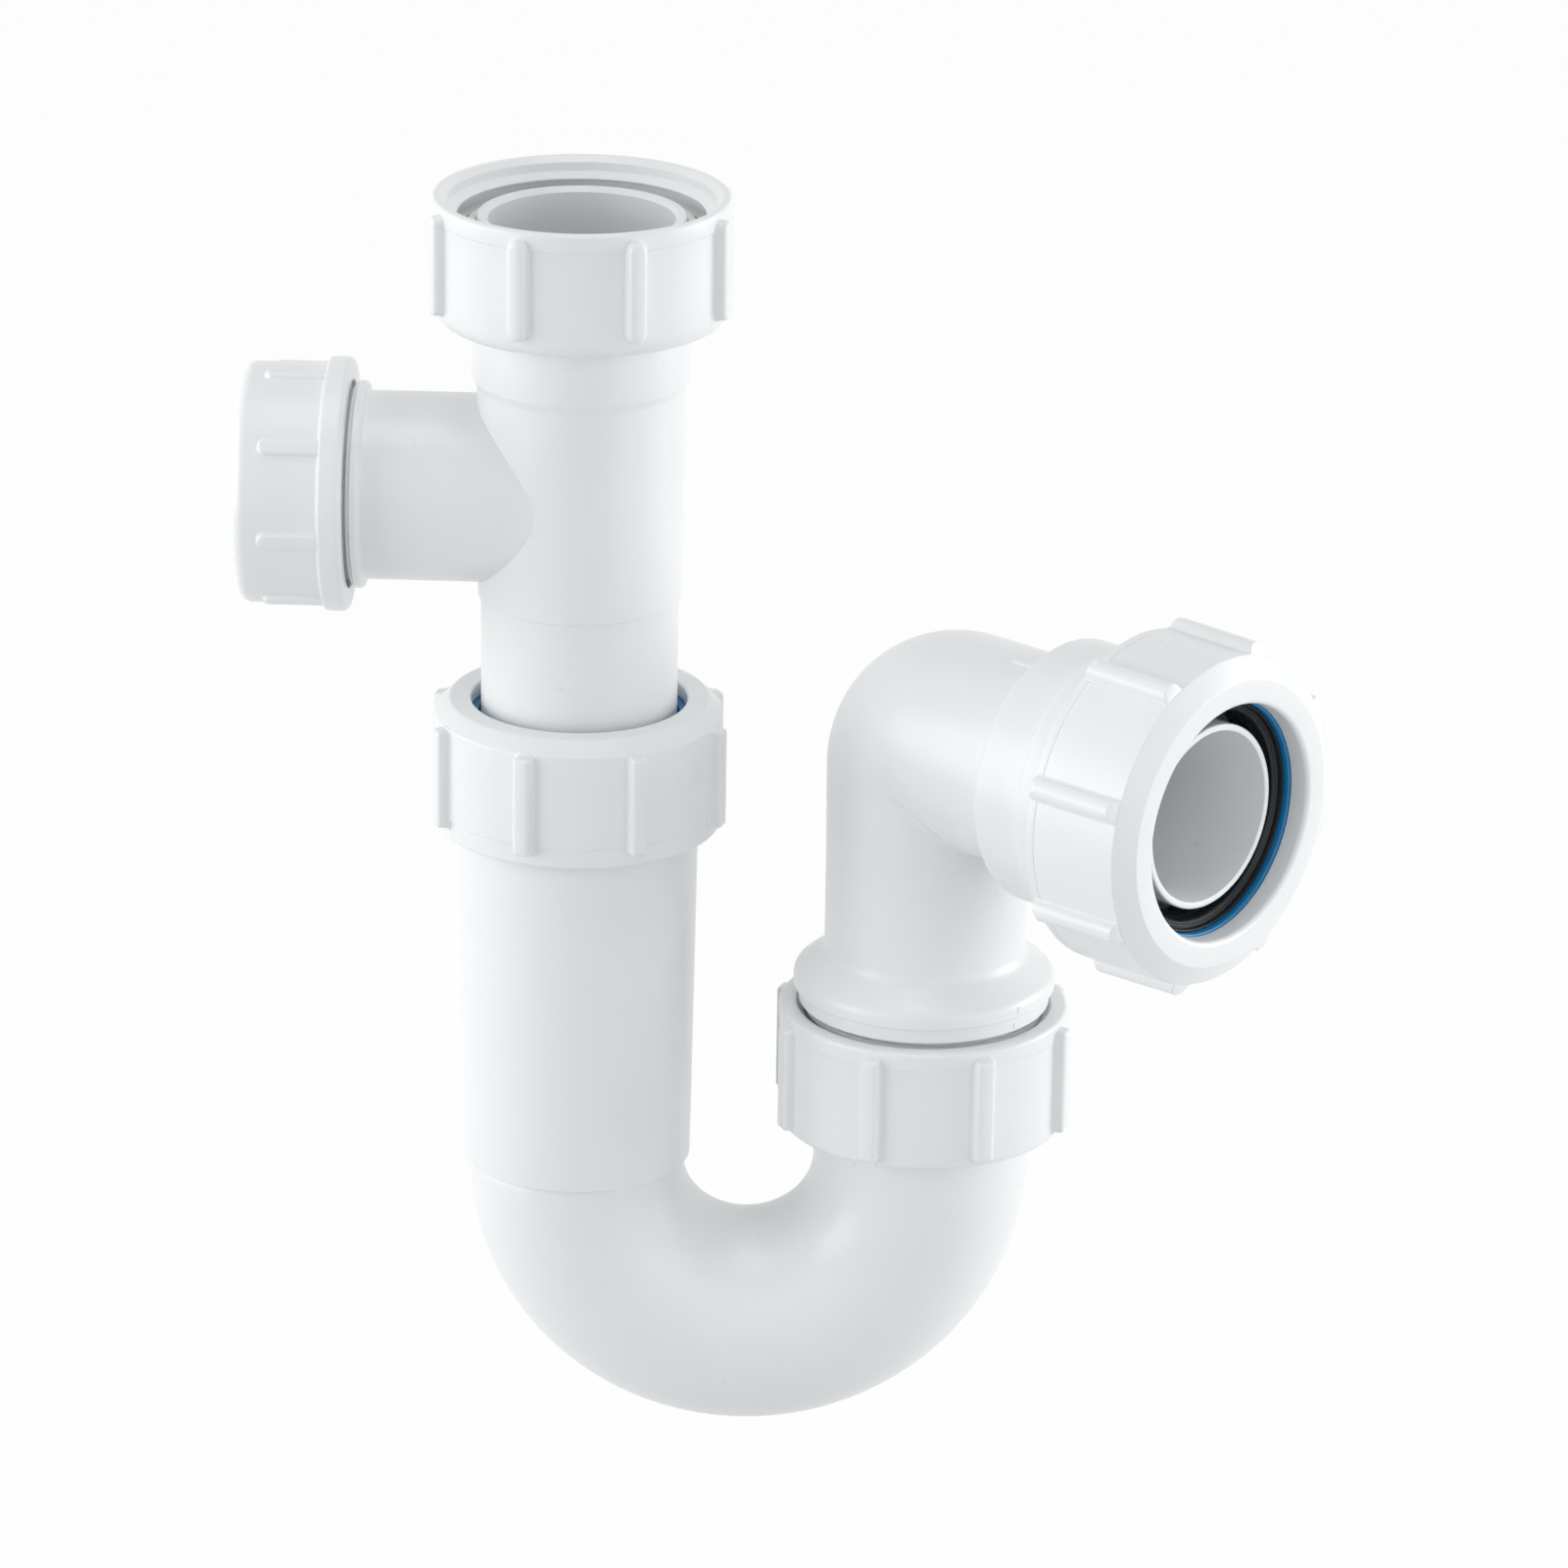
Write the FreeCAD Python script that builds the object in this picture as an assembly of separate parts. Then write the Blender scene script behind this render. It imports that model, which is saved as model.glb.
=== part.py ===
"""Tubular trap with a sliding inlet tee, a capped side branch and a swivelling outlet elbow.

Millimetres, +Z up. The origin is the centre of the inlet nut's mouth, on its rim. The inlet leg runs down
the Z axis, the outlet leg stands at +X, and heights below are measured from the origin. Every screwed
joint is drawn at its thread root: the nut's bore at the thread's major diameter, the tube at its core.
"""
import FreeCAD, Part
import math
import os

# Clearances
FACE_GAP = 0.05
SLIDE_GAP = 0.2
SEAL_GAP = 0.1
RING_GAP = 0.35
FLANGE_PLAY = 0.275

# Edge rounds that several pieces share
FINE_ROUND = 0.3
SOFT_ROUND = 0.4
RIM_ROUND = 0.7

# Threads: the depth is that of an 11 turns per inch pipe thread
THREAD_DEPTH = 1.48

# Ribs on the nuts and on the cap
RIB_COUNT = 8
NUT_RIB_WIDTH = 3.4
NUT_RIB_HEIGHT = 2.0
NUT_RIB = (NUT_RIB_WIDTH, NUT_RIB_HEIGHT)
RIB_EDGE = 0.9
CAP_RIB_HEIGHT = 0.9

# Legs and tubes: the sliding spigot sets the others
LEG_SPACING = 60.5
SPIGOT_RADIUS = 16.9
SPIGOT_WALL = 1.9
TUBE_STEP = 1.9
TUBE_WALL = 2.0
LEG_TOP_STEP = 0.5
LEG_TOP_LEAD = 1.0
TUBE_RADIUS = SPIGOT_RADIUS + TUBE_STEP
TUBE_BORE = TUBE_RADIUS - TUBE_WALL
LEG_TOP_RADIUS = TUBE_RADIUS + LEG_TOP_STEP

# Heights, each measured from the one above it
TEE_TOP = -3.5
BRANCH_DROP = 48.8
COLLAR_RISE = 20.55
BARREL_DROP = 18.55
ADJUSTING_NUT_DROP = 18.6
UNION_NUT_DROP = 56.55
BEND_DROP = 29.3
SOCKET_END_RISE = 2.0
SOCKET_BORE_LEAD = 2.0
SPIGOT_LENGTH = 79.15
BELL_RISE = 3.4
OUTLET_RISE = 47.4
BRANCH_HEIGHT = TEE_TOP - BRANCH_DROP
COLLAR_END = BRANCH_HEIGHT + COLLAR_RISE
BARREL_END = BRANCH_HEIGHT - BARREL_DROP
SPIGOT_END = BARREL_END - SPIGOT_LENGTH
ADJUSTING_NUT_TOP = BARREL_END - ADJUSTING_NUT_DROP
UNION_NUT_TOP = ADJUSTING_NUT_TOP - UNION_NUT_DROP
BEND_HEIGHT = UNION_NUT_TOP - BEND_DROP
SOCKET_END = BEND_HEIGHT + SOCKET_END_RISE
BELL_FOOT = UNION_NUT_TOP + BELL_RISE
OUTLET_HEIGHT = BELL_FOOT + OUTLET_RISE

# Inlet tee
NECK_STEP = 0.85
NECK_WALL = 2.0
NECK_HEIGHT = 2.8
TEE_BORE_LEAD = 0.7
COLLAR_STEP = 1.55
COLLAR_TAPER = 1.55
FLANGE_STEP = 0.75
FLANGE_THICK = 2.0
BARREL_TOP_STEP = 0.75
BARREL_END_STEP = 0.5
TEE_NECK_RADIUS = SPIGOT_RADIUS + NECK_STEP
TEE_BORE_TOP = TEE_NECK_RADIUS - NECK_WALL
TEE_BORE_END = SPIGOT_RADIUS - SPIGOT_WALL
COLLAR_RADIUS = SPIGOT_RADIUS + COLLAR_STEP
FLANGE_RADIUS = COLLAR_RADIUS + FLANGE_STEP
BARREL_TOP_RADIUS = SPIGOT_RADIUS + BARREL_TOP_STEP
BARREL_END_RADIUS = SPIGOT_RADIUS + BARREL_END_STEP

# Inlet nut and washer
INLET_NUT_WALL = 4.145
INLET_NUT_LENGTH = 21.8
INLET_NUT_LIP = 2.9
INLET_NUT_FOOT_ROUND = 4.0
INLET_RIM_BAND = 3.0
INLET_RIM_STEP = 0.2
INLET_MOUTH_STEP = 1.745
INLET_MOUTH_DEPTH = 2.4
INLET_MOUTH_LEAD = 1.2
INLET_MOUTH_LEAD_DEPTH = 0.9
INLET_MOUTH_LEDGE = 0.8
INLET_RIB_TOP = 1.2
INLET_RIB_FOOT = 2.6
INLET_RIB_TURN = 19.0
INLET_RIB_ROUNDS = (1.6, 1.4)
INLET_WASHER_THICK = 1.4
INLET_WASHER_STEP = 0.1
INLET_THREAD = 2 * (FLANGE_RADIUS + FLANGE_PLAY + THREAD_DEPTH)
INLET_NUT_RADIUS = INLET_THREAD / 2 + INLET_NUT_WALL
INLET_MOUTH_RADIUS = INLET_THREAD / 2 + INLET_MOUTH_STEP
INLET_WASHER_RADIUS = FLANGE_RADIUS + INLET_WASHER_STEP

# Side branch, its cap and the cap's washer: distances run out from the inlet leg's axis
BRANCH_TURN = 4.3
BRANCH_STEP = 0.78
BRANCH_WALL = 1.9
BRANCH_CORE_STEP = 0.1
BRANCH_RING_STEP = 1.58
BRANCH_RING_WIDTH = 1.6
BRANCH_RING_GAP = 1.0
CAP_START = 39.0
CAP_LENGTH = 18.6
CAP_WALL = 2.85
CAP_END_WALL = 2.6
CAP_END_ROUND = 2.2
CAP_FLANGE_STEP = 1.15
CAP_FLANGE_THICK = 4.0
CAP_FLANGE_ROUND = 1.0
CAP_MOUTH_LEAD = 0.2
CAP_RIB_TURN = 34.5
CAP_RIB_WIDTH = 2.8
CAP_RIB_END = 4.4
CAP_RIB_ROOT = 0.5
CAP_RIB_ROUNDS = (0, 0.7)
CAP_WASHER_THICK = 1.6
BRANCH_RADIUS = SPIGOT_RADIUS - BRANCH_STEP
BRANCH_RING_RADIUS = BRANCH_RADIUS + BRANCH_RING_STEP
CAP_THREAD = 2 * (BRANCH_RADIUS + BRANCH_CORE_STEP + THREAD_DEPTH)
CAP_RADIUS = CAP_THREAD / 2 + CAP_WALL
CAP_FLANGE_RADIUS = CAP_RADIUS + CAP_FLANGE_STEP

# Adjusting joint: seal, socket, slip ring and nut, from the spigot outwards
SEAT_END_STEP = 1.5
SEAT_RISE = 1.8
SOCKET_LIP = 0.92
SOCKET_STEP = 0.37
SOCKET_END_STEP = 1.05
SOCKET_BORE_STEP = 1.3
SOCKET_BORE_END_STEP = 0.7
SOCKET_THREAD_LENGTH = 15.5
SOCKET_EDGE_ROUND = 0.8
ADJUSTING_SEAL_HEAD = 0.8
ADJUSTING_SEAL_LIP = 0.6
ADJUSTING_SEAL_TAPER = 5.4
SLIP_RING_THICK = 1.5
ADJUSTING_NUT_LENGTH = 22.9
ADJUSTING_NUT_WALL = 2.25
ADJUSTING_NUT_PLAY = 1.7
ADJUSTING_NUT_LIP = 2.7
ADJUSTING_NUT_BEVEL = 2.5
ADJUSTING_NUT_BEVEL_ROUND = 1.0
ADJUSTING_FOOT_BAND = 3.9
ADJUSTING_FOOT_STEP = 0.2
ADJUSTING_RIB_TOP = 2.6
ADJUSTING_RIB_FOOT = 2.5
ADJUSTING_RIB_TURN = 22.8
ADJUSTING_RIB_ROUNDS = (0.9, 0.5)
SEAT_END_RADIUS = SPIGOT_RADIUS + SEAT_END_STEP
SEAT_TOP_RADIUS = SEAT_END_RADIUS + SEAT_RISE
SOCKET_CORE = SEAT_TOP_RADIUS + SOCKET_LIP
SOCKET_TOP_RADIUS = SOCKET_CORE - SOCKET_STEP
SOCKET_END_RADIUS = TUBE_RADIUS + SOCKET_END_STEP
SOCKET_BORE_TOP = SPIGOT_RADIUS + SOCKET_BORE_STEP
SOCKET_BORE_END = SPIGOT_RADIUS + SOCKET_BORE_END_STEP
ADJUSTING_THREAD = 2 * (SOCKET_CORE + THREAD_DEPTH)
ADJUSTING_NUT_RADIUS = ADJUSTING_THREAD / 2 + ADJUSTING_NUT_WALL
ADJUSTING_NUT_OPENING = SPIGOT_RADIUS + ADJUSTING_NUT_PLAY

# Union joint between the trap and the elbow
UNION_CORE_STEP = 0.175
UNION_NUT_LENGTH = 21.8
UNION_NUT_WALL = 4.145
UNION_NUT_LIP = 2.9
UNION_NUT_FOOT_ROUND = 1.2
UNION_MOUTH_STEP = 1.345
UNION_MOUTH_DEPTH = 1.4
UNION_RIM_BAND = 3.0
UNION_RIM_STEP = 0.15
UNION_RIB_TOP = 1.2
UNION_RIB_FOOT = 1.4
UNION_RIB_TURN = 21.5
UNION_RIB_ROUNDS = (1.0, 0.8)
UNION_FLANGE_STEP = 0.9
UNION_FLANGE_THICK = 2.2
UNION_WASHER_THICK = 1.8
UNION_CORE = LEG_TOP_RADIUS + UNION_CORE_STEP
UNION_THREAD = 2 * (UNION_CORE + THREAD_DEPTH)
UNION_NUT_RADIUS = UNION_THREAD / 2 + UNION_NUT_WALL
UNION_MOUTH_RADIUS = UNION_THREAD / 2 + UNION_MOUTH_STEP
UNION_FLANGE_RADIUS = LEG_TOP_RADIUS + UNION_FLANGE_STEP
UNION_WASHER_RADIUS = UNION_CORE - FLANGE_PLAY

# Elbow: bell, leg and tight bend
ELBOW_LEG_STEP = 1.3
ELBOW_LEG_WALL = 2.1
ELBOW_LEG_TAPER = 16.0
ELBOW_BEND_STEP = 0.8
ELBOW_BEND_SWEEP = 7.5
BELL_BEAD_HEIGHT = 2.6
BELL_BEAD_ROUND = 2.0
BELL_FOOT_ROUND = 1.0
BELL_NECK_HEIGHT = 6.6
BELL_NECK_ROUND = 3.0
BELL_RING_STEP = 2.425
BELL_RING_HEIGHT = 2.65
BELL_STEP = 0.9
OUTLET_TURN = -44.0
ELBOW_LEG_RADIUS = TUBE_RADIUS - ELBOW_LEG_STEP
ELBOW_BEND_RADIUS = ELBOW_LEG_RADIUS + ELBOW_BEND_STEP
ELBOW_BORE_RADIUS = ELBOW_LEG_RADIUS - ELBOW_LEG_WALL
BELL_RING_RADIUS = UNION_CORE + BELL_RING_STEP
BELL_RADIUS = BELL_RING_RADIUS + BELL_STEP

# Outlet socket, from its sleeve outwards: distances run out along the outlet from the leg's axis
OUTLET_MOUTH = 60.6
SLEEVE_STEP = 0.55
SLEEVE_WALL = 1.2
SLEEVE_REACH = 1.55
SLEEVE_ROOT = 2.0
SLEEVE_LAP = 1.0
OUTLET_SEAL_STEP = 2.2
OUTLET_SEAL_HEAD = 0.75
OUTLET_POCKET_STEP = 1.95
OUTLET_POCKET_DEPTH = 27.6
OUTLET_SEAT_DEPTH = 6.6
OUTLET_SEAT_STEP = 3.1
OUTLET_SEAT_LEDGE = 0.5
OUTLET_LIP = 1.42
OUTLET_SHOULDER_BACK = 17.2
OUTLET_SHOULDER_WIDTH = 3.2
OUTLET_SHOULDER_STEP = 0.28
OUTLET_COLLAR_WIDTH = 10.5
OUTLET_COLLAR_WALL = 2.9
OUTLET_TUBE_STEP = 0.3
OUTLET_RING_THICK = 1.7
OUTLET_RING_STEP = 0.45
OUTLET_NUT_LENGTH = 21.0
OUTLET_NUT_REACH = 6.3
OUTLET_NUT_WALL = 2.3
OUTLET_NUT_PLAY = 2.3
OUTLET_NUT_LIP = 3.75
OUTLET_NUT_BEVEL = 3.6
OUTLET_NUT_CHAMFER = 2.4
OUTLET_NUT_FLARE = 0.4
OUTLET_NUT_LEAD = 0.6
OUTLET_REAR_BAND = 2.2
OUTLET_REAR_STEP = 0.2
OUTLET_RIB_START = 0.4
OUTLET_RIB_END = 2.5
OUTLET_RIB_TURN = 27.5
OUTLET_RIB_ROUNDS = (0.4, 1.3)
SLEEVE_BORE = ELBOW_BORE_RADIUS - SLEEVE_STEP
SLEEVE_RADIUS = SLEEVE_BORE + SLEEVE_WALL
SLEEVE_END = OUTLET_MOUTH + SLEEVE_REACH
OUTLET_SEAL_BORE = SLEEVE_RADIUS + OUTLET_SEAL_STEP
OUTLET_POCKET_RADIUS = OUTLET_SEAL_BORE + OUTLET_POCKET_STEP
OUTLET_POCKET_START = OUTLET_MOUTH - OUTLET_POCKET_DEPTH
OUTLET_SEAT_RADIUS = OUTLET_POCKET_RADIUS + OUTLET_SEAT_STEP
OUTLET_CORE = OUTLET_SEAT_RADIUS + OUTLET_LIP
OUTLET_SHOULDER_RADIUS = OUTLET_CORE + OUTLET_SHOULDER_STEP
OUTLET_SHOULDER_END = OUTLET_MOUTH - OUTLET_SHOULDER_BACK
OUTLET_SHOULDER_START = OUTLET_SHOULDER_END - OUTLET_SHOULDER_WIDTH
OUTLET_COLLAR_RADIUS = OUTLET_POCKET_RADIUS + OUTLET_COLLAR_WALL
OUTLET_COLLAR_START = OUTLET_SHOULDER_START - OUTLET_COLLAR_WIDTH
OUTLET_TUBE_RADIUS = ELBOW_BEND_RADIUS + OUTLET_TUBE_STEP
OUTLET_THREAD = 2 * (OUTLET_CORE + THREAD_DEPTH)
OUTLET_NUT_RADIUS = OUTLET_THREAD / 2 + OUTLET_NUT_WALL
OUTLET_NUT_OPENING = OUTLET_SEAL_BORE + OUTLET_NUT_PLAY
OUTLET_NUT_FACE_RADIUS = OUTLET_NUT_RADIUS - OUTLET_NUT_BEVEL
OUTLET_NUT_END = OUTLET_MOUTH + OUTLET_NUT_REACH
OUTLET_NUT_START = OUTLET_NUT_END - OUTLET_NUT_LENGTH
OUTLET_RING_BORE = OUTLET_NUT_OPENING - OUTLET_RING_STEP

UP = FreeCAD.Vector(0, 0, 1)
ORIGIN = FreeCAD.Vector(0, 0, 0)


def corner_points(before, corner, after, size):
    """Tangent points and the middle of the arc that rounds one corner of an outline."""
    to_before = (before - corner).normalize()
    to_after = (after - corner).normalize()
    half = to_before.getAngle(to_after) / 2
    reach = size / math.tan(half)
    bisector = (to_before + to_after).normalize()
    centre = corner + bisector * (size / math.sin(half))
    middle = centre - bisector * size
    return corner + to_before * reach, middle, corner + to_after * reach


def outline(corners):
    """Closed wire in the XZ plane through (radius, height) or (radius, height, corner round)."""
    points = [FreeCAD.Vector(c[0], 0, c[1]) for c in corners]
    rounds = [c[2] if len(c) > 2 else 0 for c in corners]
    stretches = []
    for i, point in enumerate(points):
        if rounds[i] > 0:
            after = points[(i + 1) % len(points)]
            stretches.append(corner_points(points[i - 1], point, after, rounds[i]))
        else:
            stretches.append((point,))
    edges = []
    for i, stretch in enumerate(stretches):
        if len(stretch) == 3:
            edges.append(Part.Arc(*stretch).toShape())
        start = stretch[-1]
        end = stretches[(i + 1) % len(stretches)][0]
        if start.distanceToPoint(end) > 1e-6:
            edges.append(Part.LineSegment(start, end).toShape())
    return Part.Wire(edges)


def turned(corners):
    """Solid turned about the Z axis from an outline of (radius, height, corner round)."""
    return Part.Face(outline(corners)).revolve(ORIGIN, UP, 360)


def cylinder(radius, low, high):
    return Part.makeCylinder(radius, high - low, FreeCAD.Vector(0, 0, low), UP)


def rib_bar(body_radius, width, height, low, high):
    """One straight rib along Z at +X, with rounded outer edges, sunk a little into its body."""
    top = body_radius + height
    root = body_radius - height / 2
    half = width / 2
    edge = min(RIB_EDGE, height * 0.6)
    slope = half * 0.15
    section = [
        FreeCAD.Vector(root, -half, low),
        FreeCAD.Vector(top, -half + slope, low),
        FreeCAD.Vector(top, half - slope, low),
        FreeCAD.Vector(root, half, low),
    ]
    first = corner_points(section[0], section[1], section[2], edge)
    second = corner_points(section[1], section[2], section[3], edge)
    edges = [
        Part.LineSegment(section[0], first[0]).toShape(),
        Part.Arc(*first).toShape(),
        Part.LineSegment(first[2], second[0]).toShape(),
        Part.Arc(*second).toShape(),
        Part.LineSegment(second[2], section[3]).toShape(),
        Part.LineSegment(section[3], section[0]).toShape(),
    ]
    return Part.Face(Part.Wire(edges)).extrude(FreeCAD.Vector(0, 0, high - low))


def ribbed(body, body_radius, bar_size, span, turn, end_rounds, flare=0):
    """Body with evenly spaced ribs whose ends are rounded by one turned envelope, wider by flare at its foot."""
    width, height = bar_size
    low, high = span
    envelope = turned([
        (0, low),
        (body_radius + height + flare, low, end_rounds[0]),
        (body_radius + height, high, end_rounds[1]),
        (0, high),
    ])
    bars = []
    for i in range(RIB_COUNT):
        bar = rib_bar(body_radius, width, height + flare, low, high)
        bar.rotate(ORIGIN, UP, turn + i * 360 / RIB_COUNT)
        bars.append(bar)
    ribs = Part.makeCompound(bars).common(envelope)
    return body.fuse(ribs.Solids).removeSplitter()


def along(shape, start, turn):
    """Shape drawn up the Z axis, laid out level from start, turned about Z from the +X direction."""
    placed = shape.copy()
    placed.rotate(ORIGIN, FreeCAD.Vector(0, 1, 0), 90)
    placed.rotate(ORIGIN, UP, turn)
    placed.translate(start)
    return placed


def on_branch(shape):
    return along(shape, FreeCAD.Vector(0, 0, BRANCH_HEIGHT), 180 - BRANCH_TURN)


def on_outlet(shape):
    return along(shape, FreeCAD.Vector(LEG_SPACING, 0, OUTLET_HEIGHT), OUTLET_TURN)


def on_outlet_leg(shape):
    placed = shape.copy()
    placed.translate(FreeCAD.Vector(LEG_SPACING, 0, 0))
    return placed


def inlet_nut():
    """Captive nut that screws up on to the waste fitting."""
    bottom = -INLET_NUT_LENGTH
    rim = INLET_NUT_RADIUS + INLET_RIM_STEP
    bore = INLET_THREAD / 2
    body = turned([
        (COLLAR_RADIUS + SLIDE_GAP, bottom),
        (INLET_NUT_RADIUS, bottom, INLET_NUT_FOOT_ROUND),
        (INLET_NUT_RADIUS, -INLET_RIM_BAND - INLET_RIM_STEP),
        (rim, -INLET_RIM_BAND),
        (rim, 0, RIM_ROUND),
        (INLET_MOUTH_RADIUS + INLET_MOUTH_LEAD, 0, 0.2),
        (INLET_MOUTH_RADIUS, -INLET_MOUTH_LEAD_DEPTH),
        (INLET_MOUTH_RADIUS, -INLET_MOUTH_DEPTH),
        (bore, -INLET_MOUTH_DEPTH - INLET_MOUTH_LEDGE),
        (bore, bottom + INLET_NUT_LIP),
        (COLLAR_RADIUS + SLIDE_GAP, bottom + INLET_NUT_LIP),
    ])
    span = (bottom + INLET_RIB_FOOT, -INLET_RIB_TOP)
    return ribbed(body, INLET_NUT_RADIUS, NUT_RIB, span, INLET_RIB_TURN, INLET_RIB_ROUNDS)


def inlet_washer():
    """Flat washer on the tee's flange, round its neck."""
    low = TEE_TOP - NECK_HEIGHT + FACE_GAP
    high = low + INLET_WASHER_THICK
    inner = TEE_NECK_RADIUS + SLIDE_GAP
    return turned([
        (inner, low),
        (INLET_WASHER_RADIUS, low),
        (INLET_WASHER_RADIUS, high),
        (inner, high),
    ])


def inlet_tee():
    """Barrel with its collar, sliding spigot and side branch, moulded as one piece."""
    flange_top = TEE_TOP - NECK_HEIGHT
    flange_foot = flange_top - FLANGE_THICK
    barrel = turned([
        (0, TEE_TOP),
        (TEE_NECK_RADIUS, TEE_TOP, SOFT_ROUND),
        (TEE_NECK_RADIUS, flange_top),
        (FLANGE_RADIUS, flange_top, FINE_ROUND),
        (FLANGE_RADIUS, flange_foot),
        (COLLAR_RADIUS, flange_foot - FLANGE_RADIUS + COLLAR_RADIUS),
        (COLLAR_RADIUS, COLLAR_END),
        (BARREL_TOP_RADIUS, COLLAR_END - COLLAR_TAPER),
        (BARREL_END_RADIUS, BARREL_END, FINE_ROUND),
        (SPIGOT_RADIUS, BARREL_END),
        (SPIGOT_RADIUS, SPIGOT_END, 0.8),
        (0, SPIGOT_END),
    ])
    bore = turned([
        (0, TEE_TOP),
        (TEE_BORE_TOP + TEE_BORE_LEAD, TEE_TOP),
        (TEE_BORE_TOP, TEE_TOP - TEE_BORE_LEAD),
        (TEE_BORE_END, SPIGOT_END),
        (0, SPIGOT_END),
    ])
    ring_head = CAP_START - BRANCH_RING_GAP
    ring_foot = ring_head - BRANCH_RING_WIDTH
    core = BRANCH_RADIUS + BRANCH_CORE_STEP
    branch = turned([
        (0, 0),
        (BRANCH_RADIUS, 0),
        (BRANCH_RADIUS, ring_foot),
        (BRANCH_RING_RADIUS, ring_foot, RIM_ROUND),
        (BRANCH_RING_RADIUS, ring_head, 0.6),
        (core, ring_head),
        (core, branch_end(), 0.5),
        (0, branch_end()),
    ])
    branch_bore = cylinder(BRANCH_RADIUS - BRANCH_WALL, 0, branch_end())
    outside = barrel.fuse(on_branch(branch))
    return outside.cut(bore.fuse(on_branch(branch_bore))).removeSplitter()


def branch_end():
    """Where the branch stops, one washer short of the cap's end wall."""
    return CAP_START + CAP_LENGTH - CAP_END_WALL - CAP_WASHER_THICK - 2 * FACE_GAP


def side_cap():
    """Screwed cap that closes the side branch."""
    end = CAP_START + CAP_LENGTH
    flange_end = CAP_START + CAP_FLANGE_THICK
    bore = CAP_THREAD / 2
    body = turned([
        (0, end - CAP_END_WALL),
        (bore, end - CAP_END_WALL),
        (bore, CAP_START + CAP_MOUTH_LEAD),
        (bore + CAP_MOUTH_LEAD, CAP_START),
        (CAP_FLANGE_RADIUS, CAP_START, CAP_FLANGE_ROUND),
        (CAP_FLANGE_RADIUS, flange_end, CAP_FLANGE_ROUND),
        (CAP_RADIUS, flange_end),
        (CAP_RADIUS, end, CAP_END_ROUND),
        (0, end),
    ])
    span = (flange_end - CAP_RIB_ROOT, end - CAP_RIB_END)
    size = (CAP_RIB_WIDTH, CAP_RIB_HEIGHT)
    return on_branch(ribbed(body, CAP_RADIUS, size, span, CAP_RIB_TURN, CAP_RIB_ROUNDS))


def side_cap_washer():
    """Washer between the branch's end and the cap's end wall."""
    low = branch_end() + FACE_GAP
    inner = BRANCH_RADIUS - BRANCH_WALL + SLIDE_GAP
    outer = CAP_THREAD / 2 - THREAD_DEPTH - RING_GAP
    high = low + CAP_WASHER_THICK
    return on_branch(turned([(inner, low), (outer, low), (outer, high), (inner, high)]))


def adjusting_ring_top():
    return ADJUSTING_NUT_TOP - ADJUSTING_NUT_LIP - FACE_GAP


def adjusting_seal_top():
    return adjusting_ring_top() - SLIP_RING_THICK - FACE_GAP


def socket_mouth():
    """Height of the socket's mouth, just under the head of the seal."""
    return adjusting_seal_top() - ADJUSTING_SEAL_HEAD - SEAL_GAP


def adjusting_nut():
    """Compression nut that grips the sliding spigot."""
    top = ADJUSTING_NUT_TOP
    bottom = top - ADJUSTING_NUT_LENGTH
    band = bottom + ADJUSTING_FOOT_BAND
    bore = ADJUSTING_THREAD / 2
    foot = ADJUSTING_NUT_RADIUS - ADJUSTING_FOOT_STEP
    body = turned([
        (bore, bottom),
        (foot, bottom, 1.0),
        (foot, band - ADJUSTING_FOOT_STEP),
        (ADJUSTING_NUT_RADIUS, band),
        (ADJUSTING_NUT_RADIUS, top - ADJUSTING_NUT_BEVEL, ADJUSTING_NUT_BEVEL_ROUND / 2),
        (ADJUSTING_NUT_RADIUS - ADJUSTING_NUT_BEVEL, top, ADJUSTING_NUT_BEVEL_ROUND),
        (ADJUSTING_NUT_OPENING, top, 0.5),
        (ADJUSTING_NUT_OPENING, top - ADJUSTING_NUT_LIP),
        (bore, top - ADJUSTING_NUT_LIP),
    ])
    span = (bottom + ADJUSTING_RIB_FOOT, top - ADJUSTING_RIB_TOP)
    return ribbed(body, ADJUSTING_NUT_RADIUS, NUT_RIB, span, ADJUSTING_RIB_TURN, ADJUSTING_RIB_ROUNDS)


def adjusting_slip_ring():
    """Thin ring that lets the nut turn without dragging the seal."""
    high = adjusting_ring_top()
    low = high - SLIP_RING_THICK
    inner = SPIGOT_RADIUS + RING_GAP
    outer = SOCKET_CORE - RING_GAP
    return turned([(inner, low), (outer, low), (outer, high), (inner, high)])


def adjusting_seal():
    """Wedge seal between the spigot and the socket's tapered seat."""
    high = adjusting_seal_top()
    low = socket_mouth() - ADJUSTING_SEAL_TAPER
    inner = SPIGOT_RADIUS + SEAL_GAP
    return turned([
        (inner, low),
        (SEAT_END_RADIUS - 2 * SEAL_GAP, low),
        (SEAT_TOP_RADIUS - SEAL_GAP, high - ADJUSTING_SEAL_HEAD),
        (SEAT_TOP_RADIUS + ADJUSTING_SEAL_LIP, high - ADJUSTING_SEAL_HEAD),
        (SEAT_TOP_RADIUS + ADJUSTING_SEAL_LIP, high, FINE_ROUND),
        (inner, high),
    ])


def half_ring(radius):
    """Half of a ring of round section that joins the two legs at the foot of the trap."""
    section = Part.Circle(FreeCAD.Vector(0, 0, BEND_HEIGHT), UP, radius).toShape()
    face = Part.Face(Part.Wire(section))
    middle = FreeCAD.Vector(LEG_SPACING / 2, 0, BEND_HEIGHT)
    return face.revolve(middle, FreeCAD.Vector(0, -1, 0), 180)


def flange_foot():
    """Underside of the outlet leg's flange, which the union nut's lip pulls on."""
    return UNION_NUT_TOP - UNION_NUT_LENGTH + UNION_NUT_LIP + SEAL_GAP


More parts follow.
